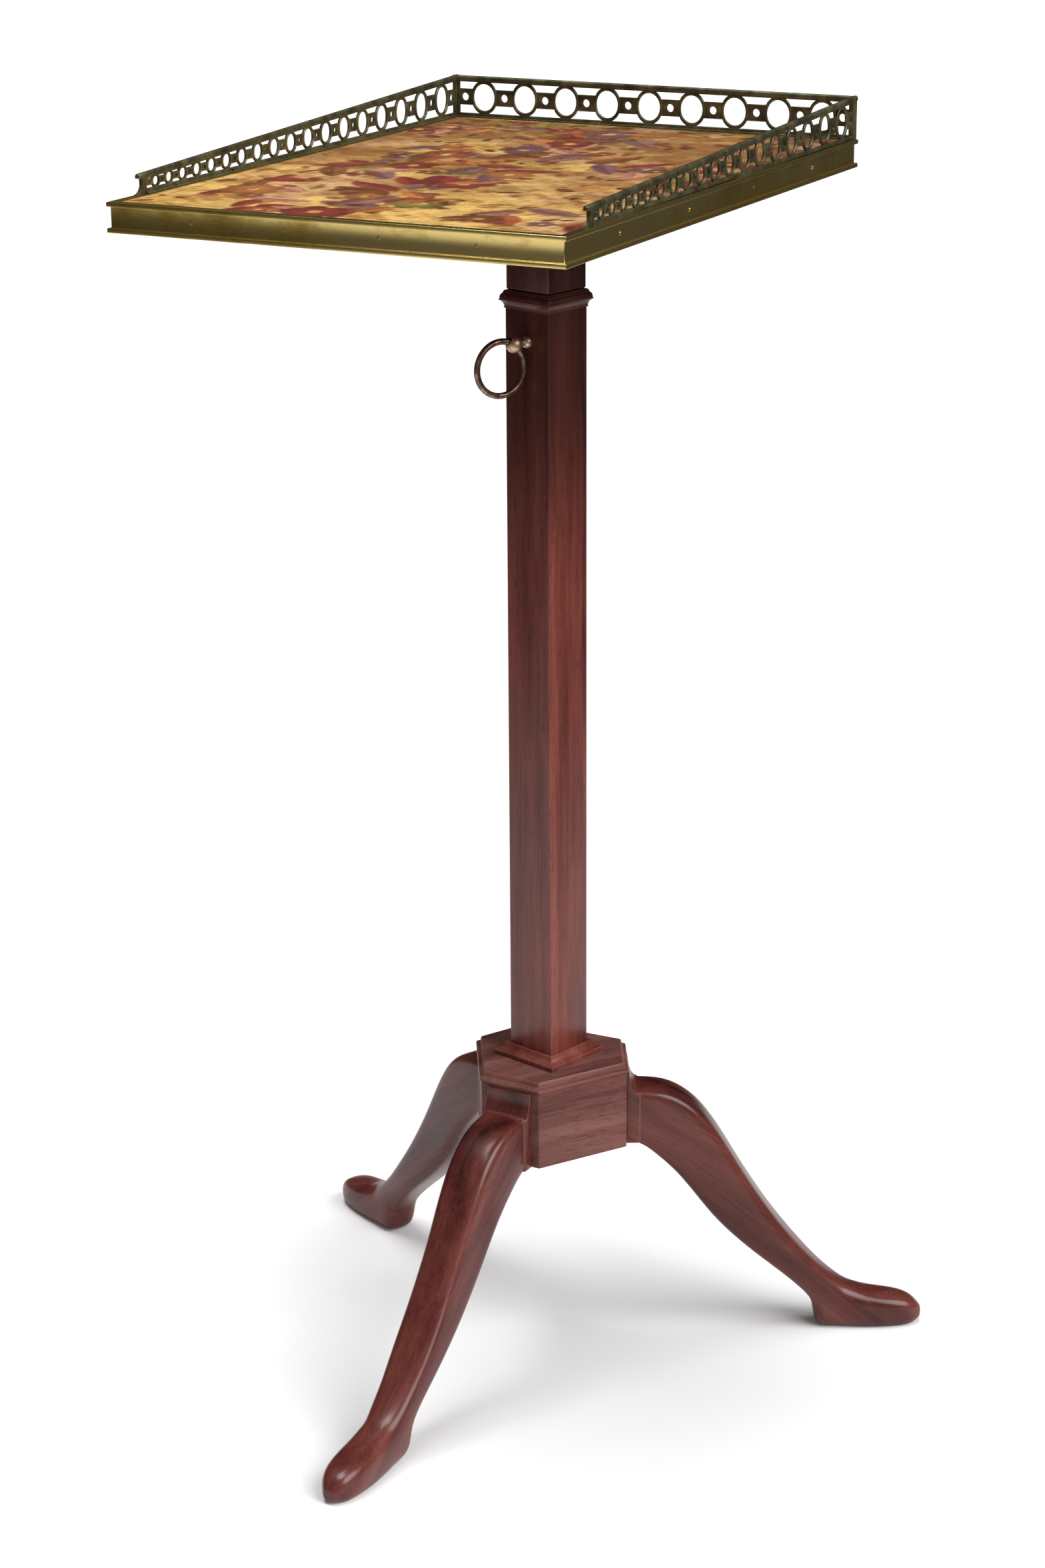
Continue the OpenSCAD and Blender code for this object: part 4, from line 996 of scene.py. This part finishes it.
back = galleryLength("galleryBack", backCells, backLength, backTop, False)
back.matrix_world = Matrix.Translation((-backLength / 2, gallerySize["backLine"], rim))
finishPiece(back, "top", galleryBrass, ["gallery_back", "rail_back"], 50)
for name, sign in (("Left", -1), ("Right", 1)):
    strip = galleryLength("gallery" + name, sideCells, sideLength, sideTop, True)
    # x of the drawing runs forwards from the back; its -y side faces the tray's middle
    strip.matrix_world = Matrix(((0, sign, 0, sign * sideLine), (-1, 0, 0, gallerySize["sideStart"]),
                                 (0, 0, 1, rim), (0, 0, 0, 1)))
    finishPiece(strip, "top", galleryBrass, [
        part + name.lower() for part in ("gallery_", "rail_", "post_front_", "post_back_")], 50)


print("catch and ring pull")
catchSize = {
    "height": 829 * mm,
    "eyeOut": 14.6 * mm,
    "eye": 12.6 * mm,
    "eyeHole": 6.8 * mm,
    "ring": 41 * mm,
    "ringAround": 72,
    "bar": 4.8 * mm,
    "barAround": 16,
    "twist": -17,
    "lean": 34,
    # outlines in mm: distance from the bolt's axis, distance from the column's axis
    "bolt": [(0, 13.7), (2.1, 13.7), (2.5, 14.1), (2.5, 14.5), (4.5, 14.5), (4.5, 15.5), (2.5, 15.5),
             (2.5, 25.6), (2.0, 26.4), (1.9, 29.0), (2.4, 31.6), (0, 32.0)],
    "roseBush": [(2.6, 19.3), (3.8, 19.3), (3.8, 22)],
    "rose": 4.8 * mm,
    "roseRim": 0.4 * mm,
    "roseTip": (2.6, 25.7),
}

# From the catch's own frame, z out of the column's face and y up, to the object's
catchFrame = (Matrix.Translation((0, columnY, catchSize["height"]))
              @ Matrix.Rotation(math.radians(columnTurn), 4, "Z") @ Matrix.Rotation(math.radians(90), 4, "X"))
eyeFrame = (catchFrame @ Matrix.Translation((0, 0, face + catchSize["eyeOut"]))
            @ Matrix.Rotation(math.radians(catchSize["twist"]), 4, "Y")
            @ Matrix.Rotation(math.radians(-catchSize["lean"]), 4, "X"))

# The ring hangs from its own top, and its bar is filed by hand, so not quite even
rings = []
middle = catchSize["ring"] / 2
for angle in np.linspace(0, 2 * math.pi, catchSize["ringAround"], endpoint=False):
    outwards = Vector((0, math.cos(angle), math.sin(angle)))
    bar = catchSize["bar"] / 2 * (1 + 0.02 * math.sin(3 * angle))
    rings.append([outwards * (middle + bar * math.cos(turn)) + Vector((bar * math.sin(turn), -middle, 0))
                  for turn in np.linspace(0, 2 * math.pi, catchSize["barAround"], endpoint=False)])
ring = closedLoop("ringPull", rings)
ring.matrix_world = eyeFrame
finishPiece(ring, "ring", pullBrass, ["ring_pull"], 60)

ball, hole = catchSize["eye"] / 2, catchSize["eyeHole"] / 2
mouth = math.acos(hole / ball)
inside = ball * math.sin(mouth) * 0.92
eyeOutline = (arc(0, 0, ball, -math.degrees(mouth), math.degrees(mouth), 16)
              + [(hole, inside), (hole, -inside)])
eye = turned("catchEye", eyeOutline, 40)
eye.matrix_world = eyeFrame
settlePiece(eye, 50)
stem = turned("catchStem", [(out * mm, up * mm) for out, up in catchSize["bolt"]], 24)
stem.matrix_world = catchFrame
settlePiece(stem, 50)
bolt = joinPieces("catchBolt", [eye, stem])
finishPiece(bolt, "catch", ballBrass, ["catch_bolt"], 50)

half = catchSize["rose"]
roseOutline = ([(out * mm, up * mm) for out, up in catchSize["roseBush"]]
               + [(half, face), (half, face + catchSize["roseRim"])] + arc(0, face, half * 0.98, 12, 56, 8)
               + [tuple(value * mm for value in catchSize["roseTip"])])
rose = turned("catchRose", roseOutline, 40)
rose.matrix_world = catchFrame
finishPiece(rose, "stand", ballBrass, ["catch_rose"], 50)


print("finishes of the remaining CAD pieces")
nodeFinish = [
    (stainedPine, ["column_plug", "bearer", "tray_core"]),
    (shaftMahogany, ["shaft"]),
    (fittingBrass, ["mouth_bush", "stop_strip", "strip_pins", "swivel_lower", "swivel_upper"]),
    (bandBrass, ["band_pins"]),
    (galleryBrass, ["gallery_screws"]),
    (blackIron, ["leg_strap", "strap_screws", "catch_spring", "spring_screws", "swivel_lower_screws",
                 "swivel_pin", "swivel_upper_screws", "swivel_washer", "bearer_screws"]),
    (oiledHide, ["shaft_shoe"]),
]
for finish, nodeNames in nodeFinish:
    for nodeName in nodeNames:
        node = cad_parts[nodeName]
        node.data.materials.clear()
        node.data.materials.append(finish)


print("floor and lights")
lightSize = {
    "roomDim": 0.02,
    "roomBright": 0.20,
    "roomToward": (0.65, -0.50, 0.60),
    "roomFade": (-0.35, 0.9),  # cosines from that way between which it brightens
    # bearings run from straight in front round to the right
    "overhead": {"bearing": -70, "height": 84, "spread": 32, "strength": 2.2},
    "side": {"bearing": 80, "height": 42, "spread": 46, "strength": 2.7},
    "sunAway": 3,
    "floorWide": 60,
    "floorShown": 0.92,
    "floorLift": 0.04,
    "paper": {"centre": (-0.1, -1.3, 0), "stretch": 2.2, "near": 0.5, "far": 2.1,
              "white": 0.78, "dark": 0.05},
}
deselectAll()
bpy.ops.mesh.primitive_plane_add(size=lightSize["floorWide"], location=(0, 0, 0))
floor = named("floor")
material, tree, spot = newMaterial("paleFloor")
rays = addNode(tree, "LightPath").outputs["Is Camera Ray"]
# What the object sees is a sheet of white paper in a dim room; the camera sees paper everywhere
paper = lightSize["paper"]
fromCentre = addNode(tree, "VectorMath", {"operation": "SUBTRACT"}, {0: spot, 1: paper["centre"]}).outputs[0]
squeezed = addNode(tree, "VectorMath", {"operation": "MULTIPLY"}, {
    0: fromCentre, 1: (1, 1 / paper["stretch"], 1)}).outputs[0]
away = addNode(tree, "VectorMath", {"operation": "LENGTH"}, {0: squeezed}).outputs["Value"]
pale = addNode(tree, "MapRange", {"interpolation_type": "SMOOTHSTEP"}, {
    "Value": away, "From Min": paper["near"], "From Max": paper["far"],
    "To Min": paper["white"], "To Max": paper["dark"]}).outputs[0]
sheet = addNode(tree, "BsdfDiffuse", inputs={"Color": pale})
shown = addNode(tree, "BsdfDiffuse", inputs={"Color": (lightSize["floorShown"],) * 3 + (1,)})
glow = addNode(tree, "Emission", inputs={"Color": (1, 1, 1, 1), "Strength": lightSize["floorLift"]})
bright = addNode(tree, "AddShader", inputs={0: shown.outputs[0], 1: glow.outputs[0]})
finishMaterial(tree, addNode(tree, "MixShader", inputs={0: rays, 1: sheet.outputs[0], 2: bright.outputs[0]}))
floor.data.materials.append(material)

world = bpy.data.worlds.new("softRoom")
bpy.context.scene.world = world
world.use_nodes = True
tree = world.node_tree
tree.nodes.clear()
rays = addNode(tree, "LightPath").outputs["Is Camera Ray"]
heading = addNode(tree, "TexCoord").outputs["Generated"]
toward = addNode(tree, "VectorMath", {"operation": "DOT_PRODUCT"}, {
    0: heading, 1: Vector(lightSize["roomToward"]).normalized()}).outputs["Value"]
level = addNode(tree, "MapRange", {"interpolation_type": "SMOOTHSTEP"}, {
    "Value": toward, "From Min": lightSize["roomFade"][0], "From Max": lightSize["roomFade"][1],
    "To Min": lightSize["roomDim"], "To Max": lightSize["roomBright"]}).outputs[0]
roomLight = addNode(tree, "Background", inputs={"Color": (1, 1, 1, 1), "Strength": level})
whiteBack = addNode(tree, "Background", inputs={"Color": (1, 1, 1, 1), "Strength": 1.0})
shown = addNode(tree, "MixShader", inputs={0: rays, 1: roomLight.outputs[0], 2: whiteBack.outputs[0]})
addNode(tree, "OutputWorld", inputs={"Surface": shown.outputs[0]})

for key in ("overhead", "side"):
    lamp = lightSize[key]
    bearing, height = math.radians(lamp["bearing"]), math.radians(lamp["height"])
    flat = math.cos(height)
    toLight = Vector((math.sin(bearing) * flat, -math.cos(bearing) * flat, math.sin(height)))
    bpy.ops.object.light_add(type="SUN", location=toLight * lightSize["sunAway"])
    sun = bpy.context.active_object
    sun.name = key + "Light"
    sun.data.energy = lamp["strength"]
    sun.data.angle = math.radians(lamp["spread"])
    sun.rotation_mode = "QUATERNION"
    sun.rotation_quaternion = (-toLight).to_track_quat("-Z", "Y")

print("pieces done")
